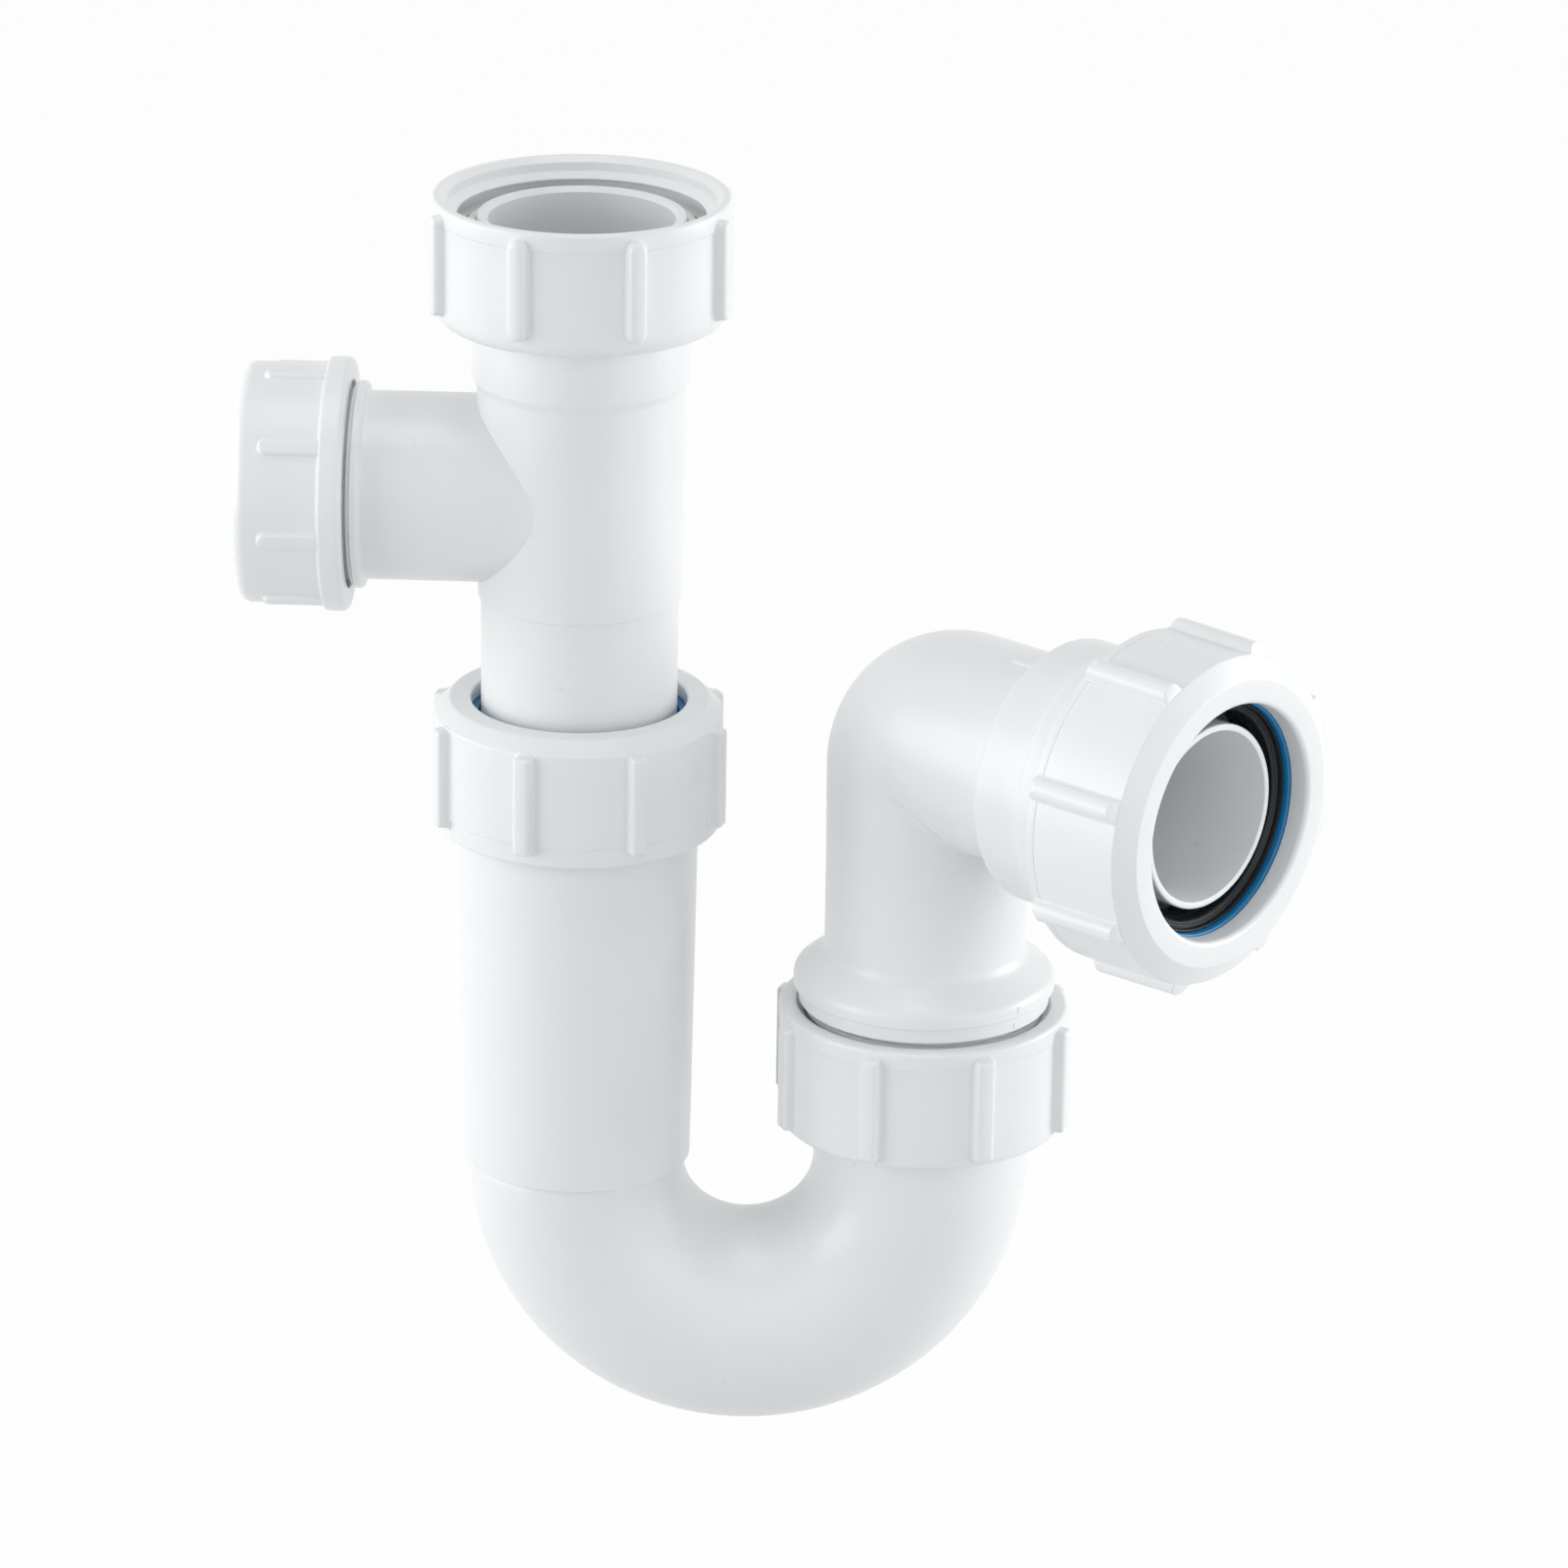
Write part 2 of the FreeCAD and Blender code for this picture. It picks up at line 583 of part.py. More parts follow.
def elbow_foot():
    """Lower end of the elbow, which stands on the union washer."""
    return flange_foot() + UNION_FLANGE_THICK + UNION_WASHER_THICK + 2 * FACE_GAP


def trap_body():
    """Socket, return bend and flanged outlet leg, moulded as one piece."""
    mouth = socket_mouth()
    core = SOCKET_CORE
    thread_end = mouth - SOCKET_THREAD_LENGTH
    seat_end = mouth - ADJUSTING_SEAL_TAPER - 2 * SEAL_GAP
    socket = turned([
        (0, mouth),
        (core, mouth, SOFT_ROUND),
        (core, thread_end),
        (SOCKET_TOP_RADIUS, thread_end - core + SOCKET_TOP_RADIUS),
        (SOCKET_END_RADIUS, SOCKET_END, SOCKET_EDGE_ROUND),
        (TUBE_BORE, SOCKET_END),
        (TUBE_BORE, BEND_HEIGHT),
        (0, BEND_HEIGHT),
    ])
    socket_bore = turned([
        (0, mouth),
        (SEAT_TOP_RADIUS, mouth),
        (SEAT_END_RADIUS, seat_end),
        (SOCKET_BORE_TOP, seat_end),
        (SOCKET_BORE_END, SOCKET_END + SOCKET_BORE_LEAD),
        (TUBE_BORE, SOCKET_END),
        (TUBE_BORE, BEND_HEIGHT),
        (0, BEND_HEIGHT),
    ])
    inlet_tube = cylinder(TUBE_RADIUS, BEND_HEIGHT, SOCKET_END + 1.0)
    foot = flange_foot()
    head = foot + UNION_FLANGE_THICK
    nut_foot = UNION_NUT_TOP - UNION_NUT_LENGTH
    leg = on_outlet_leg(turned([
        (0, BEND_HEIGHT),
        (TUBE_RADIUS, BEND_HEIGHT),
        (LEG_TOP_RADIUS, nut_foot - LEG_TOP_LEAD),
        (LEG_TOP_RADIUS, foot),
        (UNION_FLANGE_RADIUS, foot),
        (UNION_FLANGE_RADIUS, head, SOFT_ROUND),
        (0, head),
    ]))
    leg_bore = on_outlet_leg(cylinder(TUBE_BORE, BEND_HEIGHT, head))
    outside = socket.fuse([inlet_tube, half_ring(TUBE_RADIUS), leg])
    inside = socket_bore.fuse([half_ring(TUBE_BORE), leg_bore])
    return outside.cut(inside).removeSplitter()


def union_nut():
    """Captive nut on the outlet leg that draws the elbow down on to its washer."""
    top = UNION_NUT_TOP
    bottom = top - UNION_NUT_LENGTH
    rim = UNION_NUT_RADIUS + UNION_RIM_STEP
    bore = UNION_THREAD / 2
    hole = LEG_TOP_RADIUS + RING_GAP
    body = turned([
        (hole, bottom),
        (UNION_NUT_RADIUS, bottom, UNION_NUT_FOOT_ROUND),
        (UNION_NUT_RADIUS, top - UNION_RIM_BAND - UNION_RIM_STEP),
        (rim, top - UNION_RIM_BAND),
        (rim, top, RIM_ROUND),
        (UNION_MOUTH_RADIUS, top),
        (bore, top - UNION_MOUTH_DEPTH),
        (bore, bottom + UNION_NUT_LIP),
        (hole, bottom + UNION_NUT_LIP),
    ])
    span = (bottom + UNION_RIB_FOOT, top - UNION_RIB_TOP)
    nut = ribbed(body, UNION_NUT_RADIUS, NUT_RIB, span, UNION_RIB_TURN, UNION_RIB_ROUNDS)
    return on_outlet_leg(nut)


def union_washer():
    """Flat washer between the outlet leg's flange and the elbow."""
    low = flange_foot() + UNION_FLANGE_THICK + FACE_GAP
    high = low + UNION_WASHER_THICK
    inner = TUBE_BORE + SLIDE_GAP
    outer = UNION_WASHER_RADIUS
    return on_outlet_leg(turned([(inner, low), (outer, low), (outer, high), (inner, high)]))


def tight_bend(radius, sweep):
    """Quarter bend whose centre line is tighter than its tube, from the leg up and out to the outlet.

    The tube's section is turned about the bend's pivot on its outer side only. On the inner side the
    level tube and the leg run on until they meet.
    """
    start = OUTLET_HEIGHT - sweep
    pivot = FreeCAD.Vector(sweep, 0, start)
    disc = Part.Face(Part.Wire(Part.Circle(FreeCAD.Vector(0, 0, start), UP, radius).toShape()))
    far = 4 * radius
    outer_half = Part.makeBox(far, 2 * far, 2, FreeCAD.Vector(sweep - far, -far, start - 1))
    bend = disc.common(outer_half).Faces[0].revolve(pivot, FreeCAD.Vector(0, 1, 0), 90)
    inner_half = Part.makeBox(far, 2 * far, far, FreeCAD.Vector(sweep, -far, start))
    leg_part = cylinder(radius, start, OUTLET_HEIGHT).common(inner_half)
    level = cylinder(radius, 0, sweep + radius)
    level.rotate(ORIGIN, FreeCAD.Vector(0, 1, 0), 90)
    level.translate(FreeCAD.Vector(0, 0, OUTLET_HEIGHT))
    low_half = Part.makeBox(far, 2 * far, far, FreeCAD.Vector(sweep, -far, start - far))
    high_half = Part.makeBox(far, 2 * far, far, FreeCAD.Vector(sweep, -far, start))
    level_part = level.common(low_half.fuse(high_half))
    joined = bend.fuse([leg_part, level_part]).removeSplitter()
    joined.rotate(ORIGIN, UP, OUTLET_TURN)
    return on_outlet_leg(joined)


def outlet_elbow():
    """Bell with its male thread, leg, bend and outlet socket with the inner sleeve, in one piece."""
    foot = elbow_foot()
    bend_start = OUTLET_HEIGHT - ELBOW_BEND_SWEEP
    leg = on_outlet_leg(turned([
        (0, foot),
        (UNION_CORE, foot, 0.5),
        (UNION_CORE, BELL_FOOT - BELL_RING_HEIGHT),
        (BELL_RING_RADIUS, BELL_FOOT - BELL_RING_HEIGHT),
        (BELL_RING_RADIUS, BELL_FOOT),
        (BELL_RADIUS, BELL_FOOT, BELL_FOOT_ROUND),
        (BELL_RADIUS, BELL_FOOT + BELL_BEAD_HEIGHT, BELL_BEAD_ROUND),
        (ELBOW_LEG_RADIUS, BELL_FOOT + BELL_NECK_HEIGHT, BELL_NECK_ROUND),
        (ELBOW_LEG_RADIUS, bend_start - ELBOW_LEG_TAPER),
        (ELBOW_BEND_RADIUS, bend_start),
        (0, bend_start),
    ]))
    level_start = ELBOW_BEND_SWEEP
    outlet = on_outlet(turned([
        (0, level_start),
        (ELBOW_BEND_RADIUS, level_start),
        (OUTLET_TUBE_RADIUS, OUTLET_COLLAR_START),
        (OUTLET_COLLAR_RADIUS, OUTLET_COLLAR_START, 0.8),
        (OUTLET_COLLAR_RADIUS, OUTLET_SHOULDER_START, 1.0),
        (OUTLET_SHOULDER_RADIUS, OUTLET_SHOULDER_START, 1.0),
        (OUTLET_SHOULDER_RADIUS, OUTLET_SHOULDER_END),
        (OUTLET_CORE, OUTLET_SHOULDER_END + 0.3),
        (OUTLET_CORE, OUTLET_MOUTH, SOFT_ROUND),
        (0, OUTLET_MOUTH),
    ]))
    outside = leg.fuse([tight_bend(ELBOW_BEND_RADIUS, ELBOW_BEND_SWEEP), outlet])
    leg_bore = on_outlet_leg(cylinder(ELBOW_BORE_RADIUS, foot, bend_start))
    seat_end = OUTLET_MOUTH - OUTLET_SEAT_DEPTH
    outlet_bore = on_outlet(turned([
        (0, level_start),
        (ELBOW_BORE_RADIUS, level_start),
        (SLEEVE_BORE, OUTLET_POCKET_START - SLEEVE_ROOT),
        (SLEEVE_BORE, OUTLET_MOUTH),
        (0, OUTLET_MOUTH),
    ]))
    pocket = on_outlet(turned([
        (SLEEVE_RADIUS, OUTLET_POCKET_START),
        (OUTLET_POCKET_RADIUS, OUTLET_POCKET_START),
        (OUTLET_POCKET_RADIUS, seat_end),
        (OUTLET_POCKET_RADIUS + OUTLET_SEAT_LEDGE, seat_end),
        (OUTLET_SEAT_RADIUS, OUTLET_MOUTH),
        (SLEEVE_RADIUS, OUTLET_MOUTH),
    ]))
    sleeve = on_outlet(turned([
        (SLEEVE_BORE, OUTLET_MOUTH - SLEEVE_LAP),
        (SLEEVE_RADIUS, OUTLET_MOUTH - SLEEVE_LAP),
        (SLEEVE_RADIUS, SLEEVE_END, SOFT_ROUND),
        (SLEEVE_BORE, SLEEVE_END, 0.2),
    ]))
    inside = leg_bore.fuse([tight_bend(ELBOW_BORE_RADIUS, ELBOW_BEND_SWEEP), outlet_bore])
    return outside.cut(inside).cut(pocket).fuse(sleeve).removeSplitter()


def outlet_ring_end():
    return OUTLET_NUT_END - OUTLET_NUT_LIP - FACE_GAP


def outlet_seal():
    """Wedge seal that grips the waste pipe in the outlet's mouth."""
    head = outlet_ring_end() - OUTLET_RING_THICK - FACE_GAP
    foot = OUTLET_MOUTH - OUTLET_SEAT_DEPTH + SEAL_GAP
    return on_outlet(turned([
        (OUTLET_SEAL_BORE, foot),
        (OUTLET_POCKET_RADIUS + OUTLET_SEAT_LEDGE - SEAL_GAP, foot),
        (OUTLET_SEAT_RADIUS - SEAL_GAP, OUTLET_MOUTH - SEAL_GAP),
        (OUTLET_SEAT_RADIUS - SEAL_GAP, head - OUTLET_SEAL_HEAD / 3),
        (OUTLET_SEAT_RADIUS - SEAL_GAP - OUTLET_SEAL_HEAD / 3, head),
        (OUTLET_SEAL_BORE, head, OUTLET_SEAL_HEAD),
    ]))


def outlet_slip_ring():
    """Thin ring between the outlet nut's lip and its seal."""
    high = outlet_ring_end()
    low = high - OUTLET_RING_THICK
    outer = OUTLET_CORE - RING_GAP
    return on_outlet(turned([
        (OUTLET_RING_BORE, low),
        (outer, low),
        (outer, high),
        (OUTLET_RING_BORE, high, SOFT_ROUND),
    ]))


def outlet_nut():
    """Compression nut round the outlet pipe."""
    start = OUTLET_NUT_START
    end = OUTLET_NUT_END
    bore = OUTLET_THREAD / 2
    rear = OUTLET_NUT_RADIUS + OUTLET_NUT_FLARE
    body = turned([
        (bore + OUTLET_NUT_LEAD, start),
        (rear - OUTLET_REAR_STEP, start, 0.6),
        (rear - OUTLET_REAR_STEP, start + OUTLET_REAR_BAND - OUTLET_REAR_STEP),
        (rear, start + OUTLET_REAR_BAND),
        (OUTLET_NUT_RADIUS, end - OUTLET_NUT_CHAMFER, 0.5),
        (OUTLET_NUT_FACE_RADIUS, end, SOFT_ROUND),
        (OUTLET_NUT_OPENING, end, SOFT_ROUND),
        (OUTLET_NUT_OPENING, end - OUTLET_NUT_LIP),
        (bore, end - OUTLET_NUT_LIP),
        (bore, start + OUTLET_NUT_LEAD),
    ])
    span = (start + OUTLET_RIB_START, end - OUTLET_RIB_END)
    rounds = OUTLET_RIB_ROUNDS
    nut = ribbed(body, OUTLET_NUT_RADIUS, NUT_RIB, span, OUTLET_RIB_TURN, rounds, OUTLET_NUT_FLARE)
    return on_outlet(nut)


PIECES = {
    "inlet_nut": inlet_nut,
    "inlet_washer": inlet_washer,
    "inlet_tee": inlet_tee,
    "side_cap": side_cap,
    "side_cap_washer": side_cap_washer,
    "adjusting_nut": adjusting_nut,
    "adjusting_slip_ring": adjusting_slip_ring,
    "adjusting_seal": adjusting_seal,
    "trap_body": trap_body,
    "union_nut": union_nut,
    "union_washer": union_washer,
    "outlet_elbow": outlet_elbow,
    "outlet_seal": outlet_seal,
    "outlet_slip_ring": outlet_slip_ring,
    "outlet_nut": outlet_nut,
}

os.makedirs("parts", exist_ok=True)
for name, make in PIECES.items():
    shape = make()
    print(name, len(shape.Solids), shape.isValid(), round(shape.Volume / 1000, 2))
    shape.exportStep("parts/" + name + ".step")
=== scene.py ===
"""Dresses a tubular trap: moulded white tubes and ribbed nuts, blue slip rings, black wedge seals."""

import logging
import math
from collections.abc import Callable, Iterable, Sequence
from dataclasses import dataclass, field
from enum import Enum

import bmesh
import bpy
import numpy as np
from mathutils import Matrix, Vector

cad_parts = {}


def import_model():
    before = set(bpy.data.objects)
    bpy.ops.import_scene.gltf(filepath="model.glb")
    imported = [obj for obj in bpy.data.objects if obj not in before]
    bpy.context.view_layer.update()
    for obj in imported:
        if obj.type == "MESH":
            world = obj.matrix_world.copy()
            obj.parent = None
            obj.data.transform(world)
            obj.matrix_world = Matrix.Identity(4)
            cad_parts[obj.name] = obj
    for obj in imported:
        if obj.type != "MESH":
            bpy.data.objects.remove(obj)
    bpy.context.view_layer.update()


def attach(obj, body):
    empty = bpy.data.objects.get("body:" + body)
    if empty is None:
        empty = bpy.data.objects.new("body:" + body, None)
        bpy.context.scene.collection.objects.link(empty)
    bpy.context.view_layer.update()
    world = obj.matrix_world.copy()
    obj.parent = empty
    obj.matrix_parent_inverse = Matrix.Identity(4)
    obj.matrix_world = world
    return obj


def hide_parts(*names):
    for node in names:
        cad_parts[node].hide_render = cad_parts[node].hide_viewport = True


LOG = logging.getLogger("trap")
MM = 0.001
AROUND = 192
ANGLES = np.arange(AROUND) * math.tau / AROUND
COS, SIN = np.cos(ANGLES), np.sin(ANGLES)
SHARP_ANGLE = math.radians(32)
MERGE_DISTANCE = 1e-6

# Outlines: the round of a corner that states none, the most degrees in a step of a round, the angle past
# which a corner isn't rounded, the share of a stretch that a round may take, and the longest stretch
SOFT_ROUND = 0.16
ROUND_STEP = 11.0
STRAIGHT_ANGLE = math.radians(171)
ROUND_SHARE = 0.47
LONGEST_STRETCH = 5.0

# The trap's axes and its thread, in millimetres and degrees
LEG_SPACING = 60.5
BRANCH_HEIGHT = -52.3
BRANCH_TURN = 175.7
OUTLET_HEIGHT = -95.2
OUTLET_TURN = -44.0
THREAD_PITCH = 2.309

# Threads: how far a ridge's middle stands out from a core or lies behind a bore, the size of a fine ridge,
# steps in a turn and round the ridge, how fast its ends fade and how thin they get
CORE_RIDGE = 0.5
BORE_RIDGE = 0.1
FINE_RIDGE = 0.75
THREAD_STEPS = 96
RIDGE_STEPS = 10
THREAD_FADE = 1.6
THINNEST_RIDGE = 0.05

# Ribs: how deep they start in the body, how far a side leans in for each millimetre of height, the crown
# of the top, the most of the height that a root fillet takes, and how many stand round a nut
RIB_SINK = 0.35
RIB_DRAFT = 0.05
RIB_CROWN = 0.02
RIB_ROOT_SHARE = 0.45
RIB_ARC = np.radians((0, 22, 45, 68, 90))
RIB_CORNER_POINTS = 7
RIB_LEAST = 0.01
RIBS_ROUND = 8

Corner = tuple[float, ...]
Point = tuple[float, float, float]


# Placement of pieces that are drawn up the Z axis


def laid_out(origin: Sequence[float], turn: float) -> Matrix:
    """Placement of a piece drawn up Z that lies level.

    Args:
        origin: Where the piece's own origin goes, in millimetres.
        turn: Direction of the piece's axis, in degrees from +X.

    Returns:
        The placement, in metres.
    """
    lay = Matrix.Rotation(math.radians(90), 4, "Y")
    spin = Matrix.Rotation(math.radians(turn), 4, "Z")
    return Matrix.Translation(Vector(origin) * MM) @ spin @ lay


class Axis(Enum):
    """The four axes that the trap's pieces are turned about."""

    INLET = "inlet leg"
    OUTLET_LEG = "outlet leg"
    BRANCH = "side branch"
    OUTLET = "outlet"

    def placement(self) -> Matrix:
        """The placement of a piece that is drawn up Z about this axis."""
        if self is Axis.BRANCH:
            return laid_out((0, 0, BRANCH_HEIGHT), BRANCH_TURN)
        if self is Axis.OUTLET:
            return laid_out((LEG_SPACING, 0, OUTLET_HEIGHT), OUTLET_TURN)
        if self is Axis.OUTLET_LEG:
            return Matrix.Translation(Vector((LEG_SPACING * MM, 0, 0)))
        return Matrix.Identity(4)


# Outlines and turned skins


def rounded(corners: Sequence[Corner]) -> list[np.ndarray]:
    """Points along a closed outline whose corners are rounded.

    Args:
        corners: (radius, height) or (radius, height, corner round), in millimetres. A corner that
            states no round gets a soft one.

    Returns:
        The outline's points, in order.
    """
    points: list[np.ndarray] = []
    for i, corner in enumerate(corners):
        here = np.array(corner[:2], float)
        back = np.array(corners[i - 1][:2], float) - here
        ahead = np.array(corners[(i + 1) % len(corners)][:2], float) - here
        back_length, ahead_length = np.linalg.norm(back), np.linalg.norm(ahead)
        back, ahead = back / back_length, ahead / ahead_length
        angle = math.acos(float(np.clip(back @ ahead, -1, 1)))
        size = corner[2] if len(corner) > 2 else SOFT_ROUND
        if size <= 0 or corner[0] == 0 or angle > STRAIGHT_ANGLE:
            points.append(here)
            continue
        reach = min(size / math.tan(angle / 2), ROUND_SHARE * back_length, ROUND_SHARE * ahead_length)
        radius = reach * math.tan(angle / 2)
        middle = back + ahead
        centre = here + middle / np.linalg.norm(middle) * radius / math.sin(angle / 2)
        first = here + back * reach - centre
        last = here + ahead * reach - centre
        begin = math.atan2(first[1], first[0])
        turn = (math.atan2(last[1], last[0]) - begin + math.pi) % math.tau - math.pi
        count = max(2, math.ceil(abs(math.degrees(turn)) / ROUND_STEP))
        for k in range(count + 1):
            a = begin + turn * k / count
            points.append(centre + radius * np.array((math.cos(a), math.sin(a))))
    return points


def divided(stretches: Iterable[tuple[np.ndarray, np.ndarray]]) -> list[np.ndarray]:
    """The start of each stretch, and the points that divide the long ones."""
    result: list[np.ndarray] = []
    for here, ahead in stretches:
        count = max(1, math.ceil(float(np.linalg.norm(ahead - here)) / LONGEST_STRETCH))
        result.extend(here + (ahead - here) * k / count for k in range(count))
    return result


def opened(corners: Sequence[Corner]) -> list[np.ndarray]:
    """Points along an open run of corners, with its ends crisp and its long stretches divided."""
    points = rounded([(*corners[0][:2], 0), *corners[1:-1], (*corners[-1][:2], 0)])
    return [*divided(zip(points, points[1:])), points[-1]]


def tidy(mesh: bpy.types.Mesh) -> bpy.types.Mesh:
    """Merges seams and poles, turns the faces outwards and shades the mesh smooth between its edges."""
    work = bmesh.new()
    work.from_mesh(mesh)
    bmesh.ops.remove_doubles(work, verts=work.verts, dist=MERGE_DISTANCE)
    bmesh.ops.dissolve_degenerate(work, edges=work.edges, dist=MERGE_DISTANCE)
    bmesh.ops.recalc_face_normals(work, faces=work.faces)
    work.to_mesh(mesh)
    work.free()
    mesh.shade_smooth()
    mesh.set_sharp_from_angle(angle=SHARP_ANGLE)
    return mesh


def skin(name: str, rings: np.ndarray) -> bpy.types.Mesh:
    """Closed skin through a loop of rings.

    Args:
        name: Name of the mesh.
        rings: Ring by ring, point by point, in millimetres. The last ring joins the first.

    Returns:
        The mesh, in metres.
    """
    count, around = rings.shape[:2]
    i, k = np.meshgrid(np.arange(count), np.arange(around), indexing="ij")
    j, m = (i + 1) % count, (k + 1) % around
    faces = np.stack([i * around + k, i * around + m, j * around + m, j * around + k], -1)
    mesh = bpy.data.meshes.new(name)
    mesh.from_pydata((rings.reshape(-1, 3) * MM).tolist(), [], faces.reshape(-1, 4).tolist())
    return tidy(mesh)


def turned(name: str, corners: Sequence[Corner]) -> bpy.types.Mesh:
    """Closed skin turned about Z from an outline of (radius, height, corner round) corners."""
    outline = rounded(corners)
    points = np.array(divided(zip(outline, [*outline[1:], outline[0]])))
    radius = points[:, None, 0]
    return skin(name, np.stack([radius * COS, radius * SIN, np.repeat(points[:, 1:], AROUND, 1)], -1))


def flat_ring(name: str, sizes: Sequence[float], round_size: float = SOFT_ROUND) -> bpy.types.Mesh:
    """A washer or slip ring.

    Args:
        name: Name of the mesh.
        sizes: Inner radius, outer radius, foot and top, in millimetres.
        round_size: The round of its upper inner edge.

    Returns:
        The ring's mesh, in metres.
    """
    inner, outer, low, high = sizes
    return turned(name, [(inner, low), (outer, low), (outer, high), (inner, high, round_size)])


def combined(name: str, meshes: Sequence[bpy.types.Mesh]) -> bpy.types.Mesh:
    """One mesh that holds several, with their crisp edges kept."""
    work = bmesh.new()
    for mesh in meshes:
        work.from_mesh(mesh)
    result = bpy.data.meshes.new(name)
    work.to_mesh(result)
    work.free()
    result.shade_smooth()
    result.set_sharp_from_angle(angle=SHARP_ANGLE)
    return result


def new_object(name: str, data: bpy.types.ID) -> bpy.types.Object:
    """An object in the scene that carries a mesh, a light or a camera."""
    made = bpy.data.objects.new(name, data)
    bpy.context.scene.collection.objects.link(made)
    return made


def evaluated(work: bpy.types.Object) -> bpy.types.Mesh:
    """The plain mesh that an object's modifiers give; the object is removed."""
    bpy.context.view_layer.update()
    graph = bpy.context.evaluated_depsgraph_get()
    mesh = bpy.data.meshes.new_from_object(work.evaluated_get(graph))
    bpy.data.objects.remove(work)
    return mesh


def carved(
    name: str, base: bpy.types.Mesh, added: Sequence[bpy.types.Mesh], cut: Sequence[bpy.types.Mesh]
) -> bpy.types.Mesh:
    """A solid with others joined to it and others cut from it.

    Args:
        name: Name of the new mesh.
        base: The first solid.
        added: Solids that are joined on.
        cut: Solids that are then taken away.

    Returns:
        The new mesh.
    """
    work = new_object(name, base)
    tools: list[bpy.types.Object] = []
    for kind, meshes in (("UNION", added), ("DIFFERENCE", cut)):
        for mesh in meshes:
            step = work.modifiers.new(kind.lower(), "BOOLEAN")
            step.operation = kind
            step.solver = "EXACT"
            step.object = new_object("tool", mesh)
            tools.append(step.object)
    result = evaluated(work)
    for tool in tools:
        bpy.data.objects.remove(tool)
    return tidy(result)


# Node trees


def feed(tree: bpy.types.NodeTree, node: bpy.types.Node, inputs: dict[str | int, object]) -> None:
    """Sets a node's inputs by name or number; a value that is a socket is linked."""
    for key, value in inputs.items():
        if isinstance(value, bpy.types.NodeSocket):
            tree.links.new(value, node.inputs[key])
        else:
            node.inputs[key].default_value = value


def add_node(
    tree: bpy.types.NodeTree, kind: str, inputs: dict[str | int, object] | None = None, **settings: object
) -> bpy.types.Node:
    """A new node.

    Args:
        tree: The tree that it joins.
        kind: Its type.
        inputs: Its inputs, as feed takes them.
        **settings: Its own settings.

    Returns:
        The node.
    """
    node = tree.nodes.new(kind)
    for name, value in settings.items():
        setattr(node, name, value)
    feed(tree, node, inputs or {})
    return node


def math_node(tree: bpy.types.NodeTree, operation: str, *values: object) -> bpy.types.NodeSocket:
    """A Math node's output; each value is a number or a socket to link."""
    return add_node(tree, "ShaderNodeMath", dict(enumerate(values)), operation=operation).outputs[0]


def new_tree(name: str, inputs: dict[str, str]) -> bpy.types.NodeTree:
    """A Geometry Nodes tree with one geometry output, and inputs of the named socket types."""
    tree = bpy.data.node_groups.new(name, "GeometryNodeTree")
    for label, kind in inputs.items():
        tree.interface.new_socket(label, in_out="INPUT", socket_type=f"NodeSocket{kind}")
    tree.interface.new_socket("Geometry", in_out="OUTPUT", socket_type="NodeSocketGeometry")
    tree.nodes.new("NodeGroupInput")
    tree.nodes.new("NodeGroupOutput")
    return tree


def end_tree(tree: bpy.types.NodeTree, geometry: bpy.types.NodeSocket) -> None:
    """Ends a tree in Realize Instances and Set Material, fed by its Material input."""
    real = add_node(tree, "GeometryNodeRealizeInstances", {"Geometry": geometry})
    dress = add_node(tree, "GeometryNodeSetMaterial", {
        "Geometry": real.outputs["Geometry"],
        "Material": tree.nodes["Group Input"].outputs["Material"],
    })
    feed(tree, tree.nodes["Group Output"], {"Geometry": dress.outputs["Geometry"]})


def rib_ring_tree() -> bpy.types.NodeTree:
    """The tree that sets one rib round a body and joins the ring to it."""
    tree = new_tree("Rib ring", {
        "Geometry": "Geometry", "Rib": "Object", "Count": "Int", "Turn": "Float", "Material": "Material",
    })
    start = tree.nodes["Group Input"].outputs
    index = add_node(tree, "GeometryNodeInputIndex")
    share = math_node(tree, "DIVIDE", math.tau, start["Count"])
    angle = math_node(tree, "MULTIPLY_ADD", index.outputs[0], share, start["Turn"])
    euler = add_node(tree, "ShaderNodeCombineXYZ", {"Z": angle})
    ring = add_node(tree, "GeometryNodeInstanceOnPoints", {
        "Points": add_node(tree, "GeometryNodePoints", {"Count": start["Count"]}).outputs[0],
        "Instance": add_node(tree, "GeometryNodeObjectInfo", {"Object": start["Rib"]}).outputs["Geometry"],
        "Rotation": add_node(tree, "FunctionNodeEulerToRotation", {0: euler.outputs[0]}).outputs[0],
    })
    join = add_node(tree, "GeometryNodeJoinGeometry")
    for geometry in (start["Geometry"], ring.outputs[0]):
        tree.links.new(geometry, join.inputs[0])
    end_tree(tree, join.outputs[0])
    return tree


